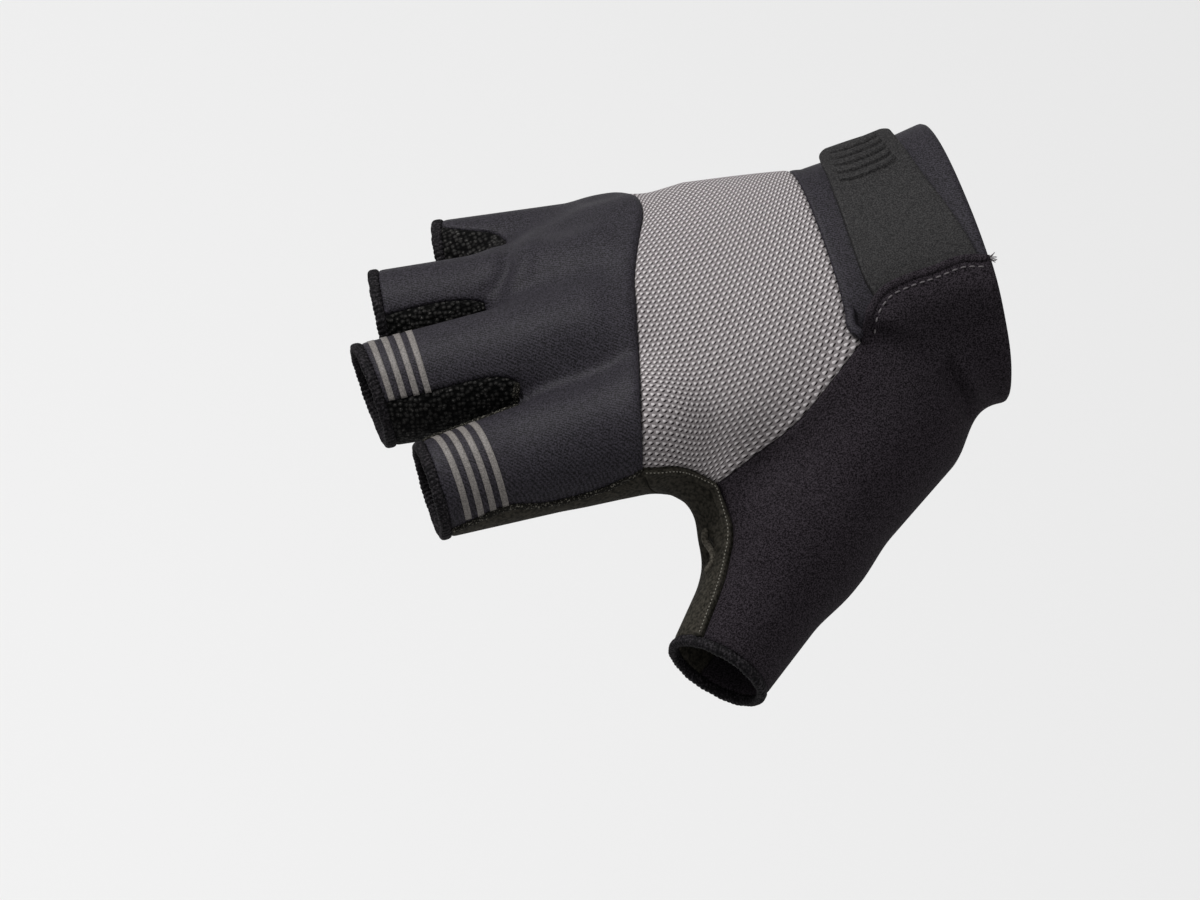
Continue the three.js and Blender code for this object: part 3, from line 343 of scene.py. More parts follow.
index, _, _, little = FINGERS
index_side = seam(np.vstack([np.array([(0.805, -0.484, 0.105), (0.887, -0.486, -0.03),
                                       (1.01, -0.475, -0.09), (1.086, -0.472, -0.05)]) * MEASURE,
                             on_finger(index, cloth_end(index), index["thumb_back"][1])]),
                  KNUCKLE_ROWS + STALL_ROWS)
index_side[0] = gusset_top[-1]
little_end = seam([knuckle_seam[0], on_finger(little, 0.45, little["back"][0]),
                   on_finger(little, cloth_end(little), little["back"][1])],
                  KNUCKLE_ROWS + STALL_ROWS)
little_end[0] = knuckle_seam[0]
print("sides of the outer stalls:", len(index_side), "and", len(little_end), "points")

# %% The three slots between the stalls
# Columns: along, towards the next finger (share of its width), height on the back and on the palm
# (shares of the fingers' radius), share of the slot's length over which it opens to its full width
WEBS = [(0.993, 0.06, 0.6, -0.62, 0.25), (0.99, 0.1, 0.52, -0.7, 0.4), (0.88, 0.11, 0.6, -0.6, 0.3)]
PALM_WEB_STEP, PALM_ROUND = 0.035, 0.15
SLOT_STEPS = np.array([0.1, 0.25, 0.5, 0.75, 1])


def slot(i, on_back):
    """A slot's edge as two lines from its web: along finger i and along the next one. The distance
    from the slot's middle grows like the square root of the distance from the web."""
    along, to_next, back, palm, opens = WEBS[i]
    a, b = FINGERS[i], FINGERS[i + 1]
    x = -(along + (0 if on_back else PALM_WEB_STEP)) * PALM_LENGTH
    from_a, to_b = (f["start"] + f["aim"] * (x - f["start"][0]) / f["aim"][0] for f in (a, b))
    middle = (from_a[1] + a["root"] + to_b[1] - b["root"]) / 2
    rise = (from_a[2] + to_b[2]) / 2 + (back if on_back else palm) * (a["root"] + b["root"]) / 2
    web = np.array([x, middle + to_next * 2 * b["root"], rise])
    t = SLOT_STEPS
    wide = np.sqrt(np.minimum(t / (opens if on_back else PALM_ROUND), 1))[:, None]
    halves = []
    for f, (first, last) in ((a, a["back" if on_back else "palm"]),
                             (b, b["thumb_back" if on_back else "thumb_palm"])):
        start = (web - f["start"]) @ f["aim"] / f["length"]
        share = start + (cloth_end(f) - start) * t
        centre = web + ((share - start) * f["length"])[:, None] * f["aim"]
        on_seam = on_finger(f, share, first + (last - first) * t * t)
        halves.append(centre + (on_seam - centre) * wide)
    points = np.vstack([halves[0][::-1], web, halves[1]])
    steps = len(t)
    t = np.linspace(0, 1, STALL_ROWS + 1)
    return settle(line_at(points, steps - steps * t)), settle(line_at(points, steps + steps * t))


back_slots = [slot(i, True) for i in range(3)]
palm_slots = [slot(i, False) for i in range(3)]
print("webs on the back at", [tuple(np.round(near[0], 1)) for near, _ in back_slots])

# %% Seams of the thumb and the palm
gusset_seam = seam(np.vstack([np.array([(0.654, -0.529, -0.14), (0.646, -0.595, -0.26),
                                        (0.645, -0.655, -0.342), (0.662, -0.71, -0.43),
                                        (0.696, -0.783, -0.488)]) * MEASURE,
                              on_finger(THUMB, cloth_end(THUMB), THUMB["inner"])]), GUSSET_ROWS)
gusset_seam[0] = gusset_top[0]
crotch_seam = seam_of([(0.805, -0.484, 0.105), (0.78, -0.47, -0.2), (0.735, -0.462, -0.48),
                       (0.65, -0.46, -0.86), (0.496, -0.5, -1.12)], CROTCH_ROWS)
crotch_seam[0] = gusset_top[-1]
under_seam = seam(np.vstack([np.array([(0.496, -0.5, -1.12), (0.6, -0.65, -1.2)]) * MEASURE,
                             on_finger(THUMB, cloth_end(THUMB), THUMB["palm"])]), THUMB_ROWS)
under_seam[0] = crotch_seam[-1]
wrist_under = seam_of([(0, -0.2, -0.7), (0.19, -0.29, -0.8), (0.365, -0.4, -1),
                       (0.496, -0.5, -1.12)], UNDER_ROWS)
wrist_under[-1] = crotch_seam[-1]


def wrist_arc(start, end, columns):
    """The wrist's edge between two of its points, the shorter way round."""
    angle = [np.arctan2(p[2] / WRIST_DEPTH, p[1] / WRIST_BREADTH) for p in (start, end)]
    turn = (angle[1] - angle[0] + np.pi) % (2 * np.pi) - np.pi
    a = angle[0] + turn * np.linspace(0, 1, columns + 1)
    arc = settle(np.stack([0 * a, WRIST_BREADTH / 2 * np.cos(a), WRIST_DEPTH / 2 * np.sin(a)], 1))
    arc[0], arc[-1] = start, end
    return arc


print("thumb seams", len(gusset_seam), len(under_seam), "points")


# %% [markdown]
# ## Panels
# A panel starts as a coarse patch between its four seams, like cloth pinned at its edges. Its
# points are spread evenly on the form, then the patch is cut finer with smooth curves through
# the coarse points. Seams stay exactly shared, because an edge is refined from its own points only.
# One sculpted hand cut into pieces would give the same outline, but with ragged edges at the cuts.

# %% From four seams to a fine patch
SMOOTHING_PASSES = 12


def patch(left, right, first, last, lean=None):
    """Straight rows from left to right, bulged as first and last are (and at least like an arc
    between the two ends' normals where a lean is given), settled and spread evenly."""
    u = np.linspace(0, 1, len(first))[None, :, None]
    v = np.linspace(0, 1, len(left))[:, None, None]
    bulges = [line - (line[0] + (line[-1] - line[0]) * u[0]) for line in (first, last)]
    out = bulges[0] * (1 - v) + bulges[1] * v
    if lean is not None:
        n = [unit(gradient(side)) for side in (left, right)]
        middle = unit(n[0] + n[1] + lean)[:, None]
        angle = np.arccos(np.clip((n[0] * n[1]).sum(-1), -1, 1))
        sagitta = (np.linalg.norm(right - left, axis=1) / 2 * np.tan(angle / 4))[:, None, None]
        more = 4 * u * (1 - u) * sagitta - (out * middle).sum(-1, keepdims=True)
        out = out + np.maximum(more, 0) * middle
    grid = left[:, None] * (1 - u) + right[:, None] * u + out
    grid[0], grid[-1], grid[:, 0], grid[:, -1] = first, last, left, right
    grid[1:-1, 1:-1] = settle(grid[1:-1, 1:-1])
    for _ in range(SMOOTHING_PASSES):
        around = grid[:-2, 1:-1] + grid[2:, 1:-1] + grid[1:-1, :-2] + grid[1:-1, 2:]
        grid[1:-1, 1:-1] = settle(around / 4, 2)
    return grid


print("patches are smoothed", SMOOTHING_PASSES, "times")


# %% From a coarse patch to a fine one
def finer_rows(grid, factor, cuts):
    """Catmull-Rom curves down each column, factor steps to a row, broken at the cut rows."""
    parts = []
    edges = [0, *cuts, len(grid) - 1]
    for a, b in zip(edges, edges[1:]):
        part = grid[a:b + 1]
        p = np.concatenate([2 * part[:1] - part[1:2], part, 2 * part[-1:] - part[-2:-1]])
        at = np.arange((b - a) * factor) / factor
        k = at.astype(int)
        t = (at - k)[:, None, None]
        x0, x1, x2, x3 = (p[k + i] for i in range(4))
        parts.append(x1 + 0.5 * t * (x2 - x0 + t * (2 * x0 - 5 * x1 + 4 * x2 - x3
                                                    + t * (3 * (x1 - x2) + x3 - x0))))
    return np.concatenate([*parts, grid[-1:]])


def finer(grid, factor, cuts=(), column_cuts=()):
    """A patch cut finer both ways and settled on to the form again."""
    grid = finer_rows(grid, factor, cuts)
    grid = finer_rows(grid.transpose(1, 0, 2), factor, column_cuts).transpose(1, 0, 2)
    return settle(grid, 3)


level = np.zeros((3, 4, 3))
print("3 rows of 4 points, cut 6 times finer:", len(finer_rows(level, 6, ())), "rows")


# %% Faces of a grid, and a closed plate over one
def quads_of(rows, columns, start=0):
    """The quads of a grid of points that are numbered row by row from start."""
    k = start + np.arange(rows * columns).reshape(rows, columns)
    return np.stack([k[:-1, :-1], k[:-1, 1:], k[1:, 1:], k[1:, :-1]], -1).reshape(-1, 4)


def turned(vertices, quads):
    """Cross product of each quad's diagonals: a vector along its normal, twice its area long."""
    corner = vertices[quads]
    return np.cross(corner[:, 2] - corner[:, 0], corner[:, 3] - corner[:, 1])


def plate_of(grid, normals, high, low):
    """A closed plate over a grid: its points moved along their normals by high and by low, a face
    of quads on each side and a band of quads round the rim."""
    rows, columns = grid.shape[:2]
    n = rows * columns
    k = np.arange(n).reshape(rows, columns)
    rim = np.concatenate([k[0, :-1], k[:-1, -1], k[-1, :0:-1], k[:0:-1, 0]])
    following = np.roll(rim, -1)
    quads = quads_of(rows, columns)
    faces = np.concatenate([quads, quads[:, ::-1] + n,
                            np.stack([rim, rim + n, following + n, following], -1)])
    if (turned(grid.reshape(-1, 3), quads) * normals.reshape(-1, 3)[quads[:, 0]]).sum() <= 0:
        faces = faces[:, ::-1]
    return np.concatenate([(grid + normals * d).reshape(-1, 3) for d in (high, low)]), faces


print("a grid of 3 by 4 points has", len(quads_of(3, 4)), "quads")


# %% Cloth coordinates and nearest points
def laid_flat(grid):
    """Distances in mm across a patch, from its middle column, and along it."""
    across = np.linalg.norm(np.diff(grid, axis=1), axis=-1).cumsum(1)
    across = np.concatenate([np.zeros((len(grid), 1)), across], 1)
    down = np.linalg.norm(np.diff(grid, axis=0), axis=-1).mean(1).cumsum()
    down = np.concatenate([[0], down])[:, None] * np.ones((1, grid.shape[1]))
    return np.stack([across - across[:, [grid.shape[1] // 2]], down], -1)


def nearest(points, targets):
    """Distance from each point to the nearest target, and which one it is."""
    best = np.full(len(points), 1e9)
    which = np.zeros(len(points), int)
    for start in range(0, len(points), 4000):
        block = points[start:start + 4000]
        d = ((block ** 2).sum(1)[:, None] - 2 * block @ targets.T + (targets ** 2).sum(1))
        which[start:start + 4000] = d.argmin(1)
        best[start:start + 4000] = np.sqrt(np.maximum(d.min(1), 0))
    return best, which


line = knuckle_seam[:2]
print("its first two points are", round(float(nearest(line[:1], line[1:])[0][0]), 2), "mm apart")


# %% A finished object
def add_mesh(name, vertices, faces, material, node_slot, uv=None):
    """A finished object from points in mm, at the origin of the frame."""
    mesh = bpy.data.meshes.new(name)
    mesh.from_pydata(vertices * MM, [], faces.tolist())
    if uv is not None:
        corners = np.zeros(len(mesh.loops), np.int32)
        mesh.loops.foreach_get("vertex_index", corners)
        mesh.uv_layers.new(name="cloth").data.foreach_set("uv", uv[corners].astype(np.float32).ravel())
    mesh.polygons.foreach_set("use_smooth", np.ones(len(mesh.polygons), bool))
    mesh.materials.append(material)
    piece = bpy.data.objects.new(name, mesh)
    bpy.context.scene.collection.objects.link(piece)
    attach(piece, "root")
    print(name, 2 * len(faces), "triangles")
    return piece


# %% A sewn piece of cloth
def cloth(name, grids, thickness, material, node_slot, outer=None, roll=0.45, roll_width=1.3,
          inner_lift=None):
    """Patches joined at their shared points and closed into a wall. The outer face stands at
    outer(points, rim distance) above the form, and rolls down to each edge in a quarter circle."""
    uv = np.concatenate([laid_flat(g).reshape(-1, 2) for g in grids])
    starts = np.cumsum([0] + [g.shape[0] * g.shape[1] for g in grids])
    points = np.concatenate([g.reshape(-1, 3) for g in grids])
    quads = np.concatenate([quads_of(*g.shape[:2], s) for g, s in zip(grids, starts)])
    _, first, same = np.unique(np.round(points, 3), axis=0, return_index=True, return_inverse=True)
    points, uv, quads = points[first], uv[first], same.reshape(-1)[quads]
    normals = unit(gradient(points))
    if (turned(points, quads) * normals[quads[:, 0]]).sum() < 0:
        quads = quads[:, ::-1]
    n = len(points)
    a, b = quads.ravel(), np.roll(quads, -1, axis=1).ravel()
    rim = ~np.isin(a * n + b, b * n + a)
    a, b = a[rim], b[rim]
    distance, _ = nearest(points, points[np.unique(a)])
    short = np.clip(1 - distance / roll_width, 0, 1)
    rolled = roll * (1 - np.sqrt(1 - short ** 2))
    high = -rolled if outer is None else outer(points, distance) - rolled
    low = -thickness + 0.5 * rolled + (0 if inner_lift is None else inner_lift(points))
    vertices = np.concatenate([points + normals * high[:, None], points + normals * low[:, None]])
    walls = np.stack([b, a, a + n, b + n], -1)
    faces = np.concatenate([quads, quads[:, ::-1] + n, walls])
    return add_mesh(name, vertices, faces, material, node_slot, np.concatenate([uv, uv]))


# %% [markdown]
# ## Finishes
# All cloth here is matt, so what tells the pieces apart is grain: smooth stretch knit, open mesh,
# brushed fleece, suede and terry loops. Each finish is a principled shader whose colour and bump
# come from noise, or from a stitch pattern measured in millimetres along the cloth. Painted images
# could do it, but a pattern made of nodes stays sharp near by and needs no file. Shader maths is
# easier to read as an expression than as a picture of nodes, so a small class writes it that way.

# %% Shader maths as Python expressions
class Value:
    """A socket of a finish. Python's operators on it add Math nodes."""

    def __init__(self, finish, socket):
        self.finish = finish
        self.socket = socket

    def math(self, operation, *others, reflected=False):
        values = [*others, self] if reflected else [self, *others]
        return self.finish.node("ShaderNodeMath", {"operation": operation}, dict(enumerate(values)))

    def __add__(self, other):
        return self.math("ADD", other)

    def __sub__(self, other):
        return self.math("SUBTRACT", other)

    def __rsub__(self, other):
        return self.math("SUBTRACT", other, reflected=True)

    def __mul__(self, other):
        return self.math("MULTIPLY", other)

    def __truediv__(self, other):
        return self.math("DIVIDE", other)

    __radd__ = __add__
    __rmul__ = __mul__

    def part(self, name):
        """Another output of the node that this value comes from."""
        return Value(self.finish, self.socket.node.outputs[name])

    def ramp(self, low, high):
        """0 at low, 1 at high, smooth between."""
        return self.finish.node("ShaderNodeMapRange", {"interpolation_type": "SMOOTHSTEP"},
                                {0: self, 1: low, 2: high, 3: 0.0, 4: 1.0})


def linear(red, green, blue):
    """A colour given as it looks on a screen (0 to 255), for a shader."""
    c = np.array([red, green, blue]) / 255
    return (*np.where(c < 0.04, c / 12.92, ((c + 0.055) / 1.055) ** 2.4), 1.0)


class Finish:
    """A material with one principled shader."""

    def __init__(self, name, roughness, **fixed):
        self.material = bpy.data.materials.new(name)
        self.material.use_nodes = True
        self.tree = self.material.node_tree
        self.shader = self.tree.nodes["Principled BSDF"]
        self.shader.inputs["Roughness"].default_value = roughness
        for socket, value in fixed.items():
            self.shader.inputs[socket.replace("_", " ")].default_value = value

    def node(self, kind, settings, inputs, output=0):
        """One node: its type, its settings, and the values or links of its sockets."""
        made = self.tree.nodes.new(kind)
        for key, value in settings.items():
            setattr(made, key, value)
        for key, value in inputs.items():
            if isinstance(value, Value):
                self.tree.links.new(value.socket, made.inputs[key])
            else:
                made.inputs[key].default_value = value
        return Value(self, made.outputs[output])

    def place(self):
        return self.node("ShaderNodeTexCoord", {}, {}, "Object")

    def flat(self):
        return self.node("ShaderNodeUVMap", {"uv_map": "cloth"}, {})

    def noise(self, size_mm, detail=2.0, where=None):
        """Cloudy noise between 0 and 1, with lumps of about size_mm."""
        return self.node("ShaderNodeTexNoise", {}, {"Vector": where or self.place(),
                                                    "Scale": 1 / (size_mm * MM), "Detail": detail})

    def mix(self, factor, a, b):
        return self.node("ShaderNodeMix", {"data_type": "RGBA"}, {0: factor, 6: a, 7: b}, 2)

    def colour(self, value):
        if isinstance(value, Value):
            self.tree.links.new(value.socket, self.shader.inputs["Base Color"])
        else:
            self.shader.inputs["Base Color"].default_value = value

    def mottle(self, size_mm, detail, low, high, dark, light):
        """Dark below low and light above high, in noise with lumps of about size_mm."""
        cloud = self.noise(size_mm, detail).ramp(low, high)
        self.colour(self.mix(cloud, linear(*dark), linear(*light)))

    def relief(self, height, depth_mm, strength=1.0):
        """Bump from a height between 0 and 1 that stands for depth_mm."""
        bump = self.node("ShaderNodeBump", {}, {"Strength": strength, "Distance": depth_mm * MM,
                                                "Height": height})
        self.tree.links.new(bump.socket, self.shader.inputs["Normal"])


print("the floor's tone for a shader:", round(linear(238, 238, 238)[0], 3))

# %% Smooth stretch knit
STRETCH = Finish("black stretch knit", 0.6, Specular_IOR_Level=0.14)
where = STRETCH.node("ShaderNodeSeparateXYZ", {}, {0: STRETCH.place()})
TWILL_PERIOD, TWILL_SLANT = 0.11, 0.8
twill = ((where.part("X") * TWILL_SLANT + where.part("Y")) / (TWILL_PERIOD * MM)
         + STRETCH.noise(1.2) * 2)
grain = STRETCH.noise(0.32, 1.0).ramp(0.3, 0.72)
STRETCH.colour(STRETCH.mix(twill.math("SINE") * 0.2 + grain, linear(13, 12, 15), linear(53, 50, 57)))
STRETCH.relief(grain + twill.math("SINE") * 0.25, 0.05, 0.5)

print("a twill line every", round(2 * np.pi * TWILL_PERIOD, 2), "mm along Y")

# %% Fleece and suede
MATT = dict(Specular_IOR_Level=0.08)
FLEECE = Finish("black brushed fleece", 0.95, **MATT)
FLEECE.mottle(0.3, 3.0, 0.35, 0.68, dark=(12, 9, 12), light=(53, 48, 53))
FLEECE.relief(FLEECE.noise(0.45, 3.0), 0.16, 0.6)

SUEDE = Finish("dark suede", 0.92, **MATT)
SUEDE.mottle(0.7, 4.0, 0.3, 0.7, dark=(26, 25, 21), light=(58, 55, 49))
SUEDE.relief(SUEDE.noise(0.4, 4.0), 0.12, 0.7)

# Suede painted lighter: a painted highlight for the crest of the gusset's fold, whose own shape barely
# shows in the soft light.
SUEDE_HIGHLIGHT = Finish("suede painted lighter", 0.95, **MATT)
SUEDE_HIGHLIGHT.mottle(0.5, 4.0, 0.3, 0.7, dark=(52, 49, 43), light=(92, 88, 80))
SUEDE_HIGHLIGHT.relief(SUEDE_HIGHLIGHT.noise(0.4, 4.0), 0.12, 0.7)

print("fleece", len(FLEECE.tree.nodes), "nodes, suede", len(SUEDE.tree.nodes), "nodes")

# %% Terry
TERRY = Finish("black terry", 0.95, **MATT)
LOOP_SIZE = 1.0
loops = TERRY.node("ShaderNodeTexVoronoi", {}, {"Vector": TERRY.place(), "Scale": 1 / (LOOP_SIZE * MM),
                                                "Randomness": 0.55})
# The terry's colour holds painted light: near black between the loops as painted shade, lighter on
# their tops as a painted highlight, and bright spots on some tops as painted glints.
loop_glint = TERRY.noise(0.33, 1.0).ramp(0.6, 0.72)
loops_lit_and_shaded = TERRY.mix(loops.ramp(0.62, 0.1), linear(5, 5, 5), linear(46, 45, 44))
TERRY.colour(TERRY.mix(loop_glint * loops.ramp(0.6, 0.2), loops_lit_and_shaded, linear(88, 86, 84)))
TERRY.relief(1 - loops, 0.6, 1.0)

print("terry loops", LOOP_SIZE, "mm across")

# %% Strap, thread and trim
THREAD = Finish("black thread", 0.7, **MATT)
THREAD.mottle(0.45, 2.0, 0.45, 0.7, dark=(12, 11, 13), light=(48, 45, 48))

MOULDED = Finish("moulded strap", 0.6, Specular_IOR_Level=0.12)
MOULDED.mottle(0.3, 3.0, 0.35, 0.7, dark=(19, 18, 19), light=(54, 53, 53))
MOULDED.relief(MOULDED.noise(0.3, 3.0), 0.04, 0.6)

STRIPE = Finish("grey reflective print", 0.5, Specular_IOR_Level=0.2)
STRIPE.mottle(0.3, 2.0, 0.3, 0.7, dark=(88, 85, 82), light=(126, 121, 118))

PIPING = Finish("flecked cloth edge", 0.9, **MATT)
PIPING.mottle(0.38, 2.0, 0.54, 0.68, dark=(24, 23, 20), light=(100, 97, 90))
PIPING.relief(PIPING.noise(0.4, 3.0), 0.25, 1.0)

STITCH = Finish("pale stitches", 0.8, **MATT)
STITCH.colour(linear(124, 121, 113))
DARK_STITCH = Finish("dark stitches", 0.8, **MATT)
DARK_STITCH.colour(linear(96, 92, 94))
print(len(bpy.data.materials), "materials in the file, with those of the frame")

# %% [markdown]
# The mesh on the back is knitted in staggered rows, with a small slanted hole in each stitch.
# Modelling every stitch would take hundreds of thousands of faces, so the holes are colour and
# bump. The holes are painted near black, partly the glove's dark inside and partly painted shade, and
# the knit beside each is lighter as a painted highlight. Their pattern is laid out in millimetres
# along the cloth, so that it turns with the hand.

# %% The mesh's pattern
STITCH_WIDTH, STITCH_HEIGHT = 1.3, 1.2
HOLE_WIDTH, HOLE_LENGTH, DIAGONAL = 0.13, 0.33, 0.707
MESH = Finish("pale grey knit mesh", 0.85, **MATT)
flat = MESH.node("ShaderNodeSeparateXYZ", {}, {0: MESH.flat()})
wander = MESH.noise(2.5, 1.0) * 0.25
across = flat.part("X") / STITCH_HEIGHT + wander
along_hand = flat.part("Y") / STITCH_WIDTH + wander
row = across.math("FLOOR")
x = (along_hand + row * 0.5).math("FRACT") - 0.5
y = across.math("FRACT") - 0.5
over, length = (x + y) * DIAGONAL / HOLE_WIDTH, (x - y) * DIAGONAL / HOLE_LENGTH
hole = (over * over + length * length).ramp(1.7, 0.4)
# A painted highlight: the knit is lighter on one side of each hole, as if lit from there.
highlight_x, highlight_y = x + 0.3, y + 0.22
yarn_highlight = (highlight_x * highlight_x + highlight_y * highlight_y).ramp(0.2, 0.0)
yarn_with_highlight = MESH.mix(yarn_highlight * 0.7 + MESH.noise(0.35, 2.0) * 0.3,
                linear(100, 94, 95), linear(208, 203, 204))
# The holes are painted near black: partly the glove's dark inside seen through them, partly painted
# shade.
MESH.colour(MESH.mix(hole, yarn_with_highlight, linear(30, 25, 26)))
MESH.relief(yarn_highlight * 0.6 - hole, 0.35, 0.8)
print("a stitch every", STITCH_WIDTH, "by", STITCH_HEIGHT, "mm, made of", len(MESH.tree.nodes), "nodes")


# %% [markdown]
# ## The panels of the back
# The knuckle panel is one piece of smooth knit that parts into four strips at the webs. Over the
# knuckles it is not quite even: the bones lift it, and it dips towards the web of the little
# finger. A sculpting brush would draw such soft forms by hand. As heights in a short table they can
# be moved or made lower by a number, and they only change the cloth, not its seams.

# %% Soft lumps and dips
def lumps(table):
    """A height made of round hills: rows of (along, side, rise) place, width and height in mm."""
    centres = np.array([place(*row[:3]) for row in table])
    width, height = np.array([row[3:] for row in table]).T

    def height_at(points, _distance=None):
        d2 = ((points[:, None] - centres) ** 2).sum(-1)
        return (height * np.exp(-d2 / (2 * width ** 2))).sum(1)

    return height_at


def crease(table, width, height):
    """A ridge, or a groove where height is below zero, along a smooth line through a few places."""
    line = fine_line(np.array(table) * MEASURE, 80)
    fade = np.sin(np.pi * np.linspace(0.02, 0.98, 80)) ** 0.5

    def height_at(points, _distance=None):
        away, which = nearest(points, line)
        return height * fade[which] * np.exp(-(away / width) ** 2)

    return height_at


def all_of(*reliefs):
    """Several heights added up."""
    return lambda points, distance=None: sum(r(points, distance) for r in reliefs)


# %% The knuckles
LAP_HEIGHT, LAP_FLAT, LAP_END = 0.6, 1.5, 7
fine_knuckle_seam = fine_line(knuckle_seam, 300)


def seam_lap(points, _distance=None):
    """The knit laps over the mesh: LAP_HEIGHT higher along their seam, gone LAP_END away."""
    away, _ = nearest(points, fine_knuckle_seam)
    return LAP_HEIGHT * (1 - smoothstep(away, LAP_FLAT, LAP_END))


KNUCKLES = all_of(seam_lap, lumps([
    (0.8, -0.3, 0.45, 7, 0.5), (0.86, 0.02, 0.47, 8, 0.8), (0.8, 0.24, 0.36, 6, 0.9),
    (0.68, 0.42, 0.2, 6, 1.0), (0.87, -0.17, 0.4, 6, -0.8), (0.88, 0.13, 0.4, 5, -0.6),
    (0.76, 0.37, 0.2, 4.5, -1.1), (0.72, 0.1, 0.5, 6, -0.4), (1.04, -0.35, 0.31, 5, -0.5),
]), crease([(0.877, 0.471, -0.075), (0.911, 0.333, 0.207), (0.927, 0.278, 0.222),
            (0.952, 0.245, 0.18), (0.977, 0.229, 0.122)], 2.2, -1.3),
    crease([(0.83, 0.45, -0.02), (0.87, 0.31, 0.24), (0.9, 0.24, 0.27),
            (0.94, 0.19, 0.24)], 2.6, 0.9))


at_crest = KNUCKLES(place(0.8, 0.24, 0.36)[None])[0]
print("the ring finger's knuckle stands", round(float(at_crest), 2), "mm out")


# %% Strips between the webs
def comb(starts, middles, slots, outer_little, outer_index, arcs):
    """Four strips, from the little finger's to the index finger's, between lines that reach from
    the starting edge to a web and on along the slot's two sides."""
    strips = []
    for i, finger in enumerate(FINGERS):
        left = outer_little if i == 3 else joined(middles[i], slots[i][0])
        right = outer_index if i == 0 else joined(middles[i - 1], slots[i - 1][1])
        first = starts[(3 - i) * STRIP_COLUMNS:(4 - i) * STRIP_COLUMNS + 1]
        last = opening_arc(finger, *arcs(finger), STRIP_COLUMNS)
        last[0], last[-1] = left[-1], right[-1]
        strips.append(patch(left, right, first, last))
    return strips


# %% The knuckle panel
to_webs = [seam([knuckle_seam[(3 - i) * STRIP_COLUMNS], back_slots[i][0][0]], KNUCKLE_ROWS)
           for i in range(3)]
knuckle_strips = comb(knuckle_seam, to_webs, back_slots, little_end, index_side,
                      lambda f: (f["back"][1], f["thumb_back"][1]))
knuckle_panel = cloth("knuckle_skin", [finer(g, 8, [KNUCKLE_ROWS]) for g in knuckle_strips], 1.2,
                      STRETCH.material, "stretch", outer=KNUCKLES)
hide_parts("knuckle_panel")

# %% The mesh on the back of the hand
quarters = [STRIP_COLUMNS * k for k in (1, 2, 3)]
mesh_patch = patch(little_side[CUFF_ROWS:][::-1], joined(gusset_top[::-1], thumb_seam[::-1]),
                   knuckle_seam, cuff_seam)
mesh_panel = cloth("mesh_back_skin", [finer(mesh_patch, 8, [GUSSET_COLUMNS], quarters)], 1.4,
                   MESH.material, "mesh")
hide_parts("mesh_back_panel")

# %% [markdown]
# The cuff is a band of the same stretch knit round the back of the wrist. Its end at the thumb runs
# in under the fleece, as a tailor leaves a seam allowance. It could be cut flush with the hem and
# pushed under with a modifier, but a patch that is a few millimetres longer there does it at once.

# %% The cuff
CUFF_TUCK, CUFF_TUCK_START, CUFF_TUCK_FULL = 4.2, 6, 11
corner = hem_line[-1]


def beside(line, distance):
    """A line moved sideways along the form, towards the thumb."""
    along = unit(np.gradient(line, axis=0))
    out = np.cross(unit(gradient(line)), along)
    shifted = line + out * distance[:, None]
    shifted[0, 0] = 0
    return settle(shifted)


from_corner = np.linalg.norm(hem_line - corner, axis=1)
tucked = beside(hem_line, CUFF_TUCK * smoothstep(from_corner, CUFF_TUCK_START, CUFF_TUCK_FULL))
thumb_end = settle(at_shares(tucked, np.linspace(0, 1, CUFF_ROWS + 1)))
thumb_end[-1] = cuff_seam[-1]
cuff_patch = patch(little_side[:CUFF_ROWS + 1], thumb_end,
                   wrist_arc(little_side[0], thumb_end[0], 4 * STRIP_COLUMNS), cuff_seam)
cuff = cloth("cuff_skin", [finer(cuff_patch, 6, [], quarters)], 1.2, STRETCH.material, "stretch")
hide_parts("cuff_band")

# %% [markdown]
# ## The thumb
# The fleece wraps the thumb and comes back over the wrist, where its edge is turned under and
# top-stitched. There it lies over the strap's root, so it stands a strap's thickness higher. Two
# layers of cloth could be simulated as they fall on each other. The strap's place is known, though,
# so the same panel simply gets more height beside its hem, inside and out.

# %% Heights of the thumb panel
FLEECE_WALL = 1.5
STRAP_THICKNESS, STRAP_CLEARANCE = 2.0, 0.3
RAISED = STRAP_CLEARANCE + STRAP_THICKNESS + SEAM_GAP
RAISED_WIDTH, RAISED_SLOPE, HEM_CORNER_EASE = 4.7, 11, 5.5
fine_hem = line_at(hem_line, np.linspace(0, HEM_LINE_ROWS, 240))
fine_raise = RAISED * smoothstep(np.linalg.norm(fine_hem - corner, axis=1), 0.6, HEM_CORNER_EASE)


def over_strap(points, _distance=None):
    """Height over the strap: full beside the hem line, and gone a finger's width away."""
    away, which = nearest(points, fine_hem)
    down = smoothstep(away, RAISED_WIDTH, RAISED_WIDTH + RAISED_SLOPE)
    return fine_raise[which] * (1 - down) * (1 + FLEECE_WALL / RAISED)


THUMB_DENTS = all_of(
    lumps([(0.02, -0.4, 0.3, 5, -0.4), (0.12, -0.48, 0.0, 5, -0.6), (0.4, -0.5, 0.1, 9, 0.3)]),
    crease([(0.135, -0.407, 0.254), (0.12, -0.453, 0.067), (0.102, -0.47, -0.099),
            (0.085, -0.46, -0.297)], 1.7, -2.1),
    crease([(0.1, -0.41, 0.22), (0.085, -0.45, 0.04), (0.065, -0.465, -0.12)], 2.0, 1.4))


print("the hem stands", round(RAISED, 1), "mm higher over the strap")

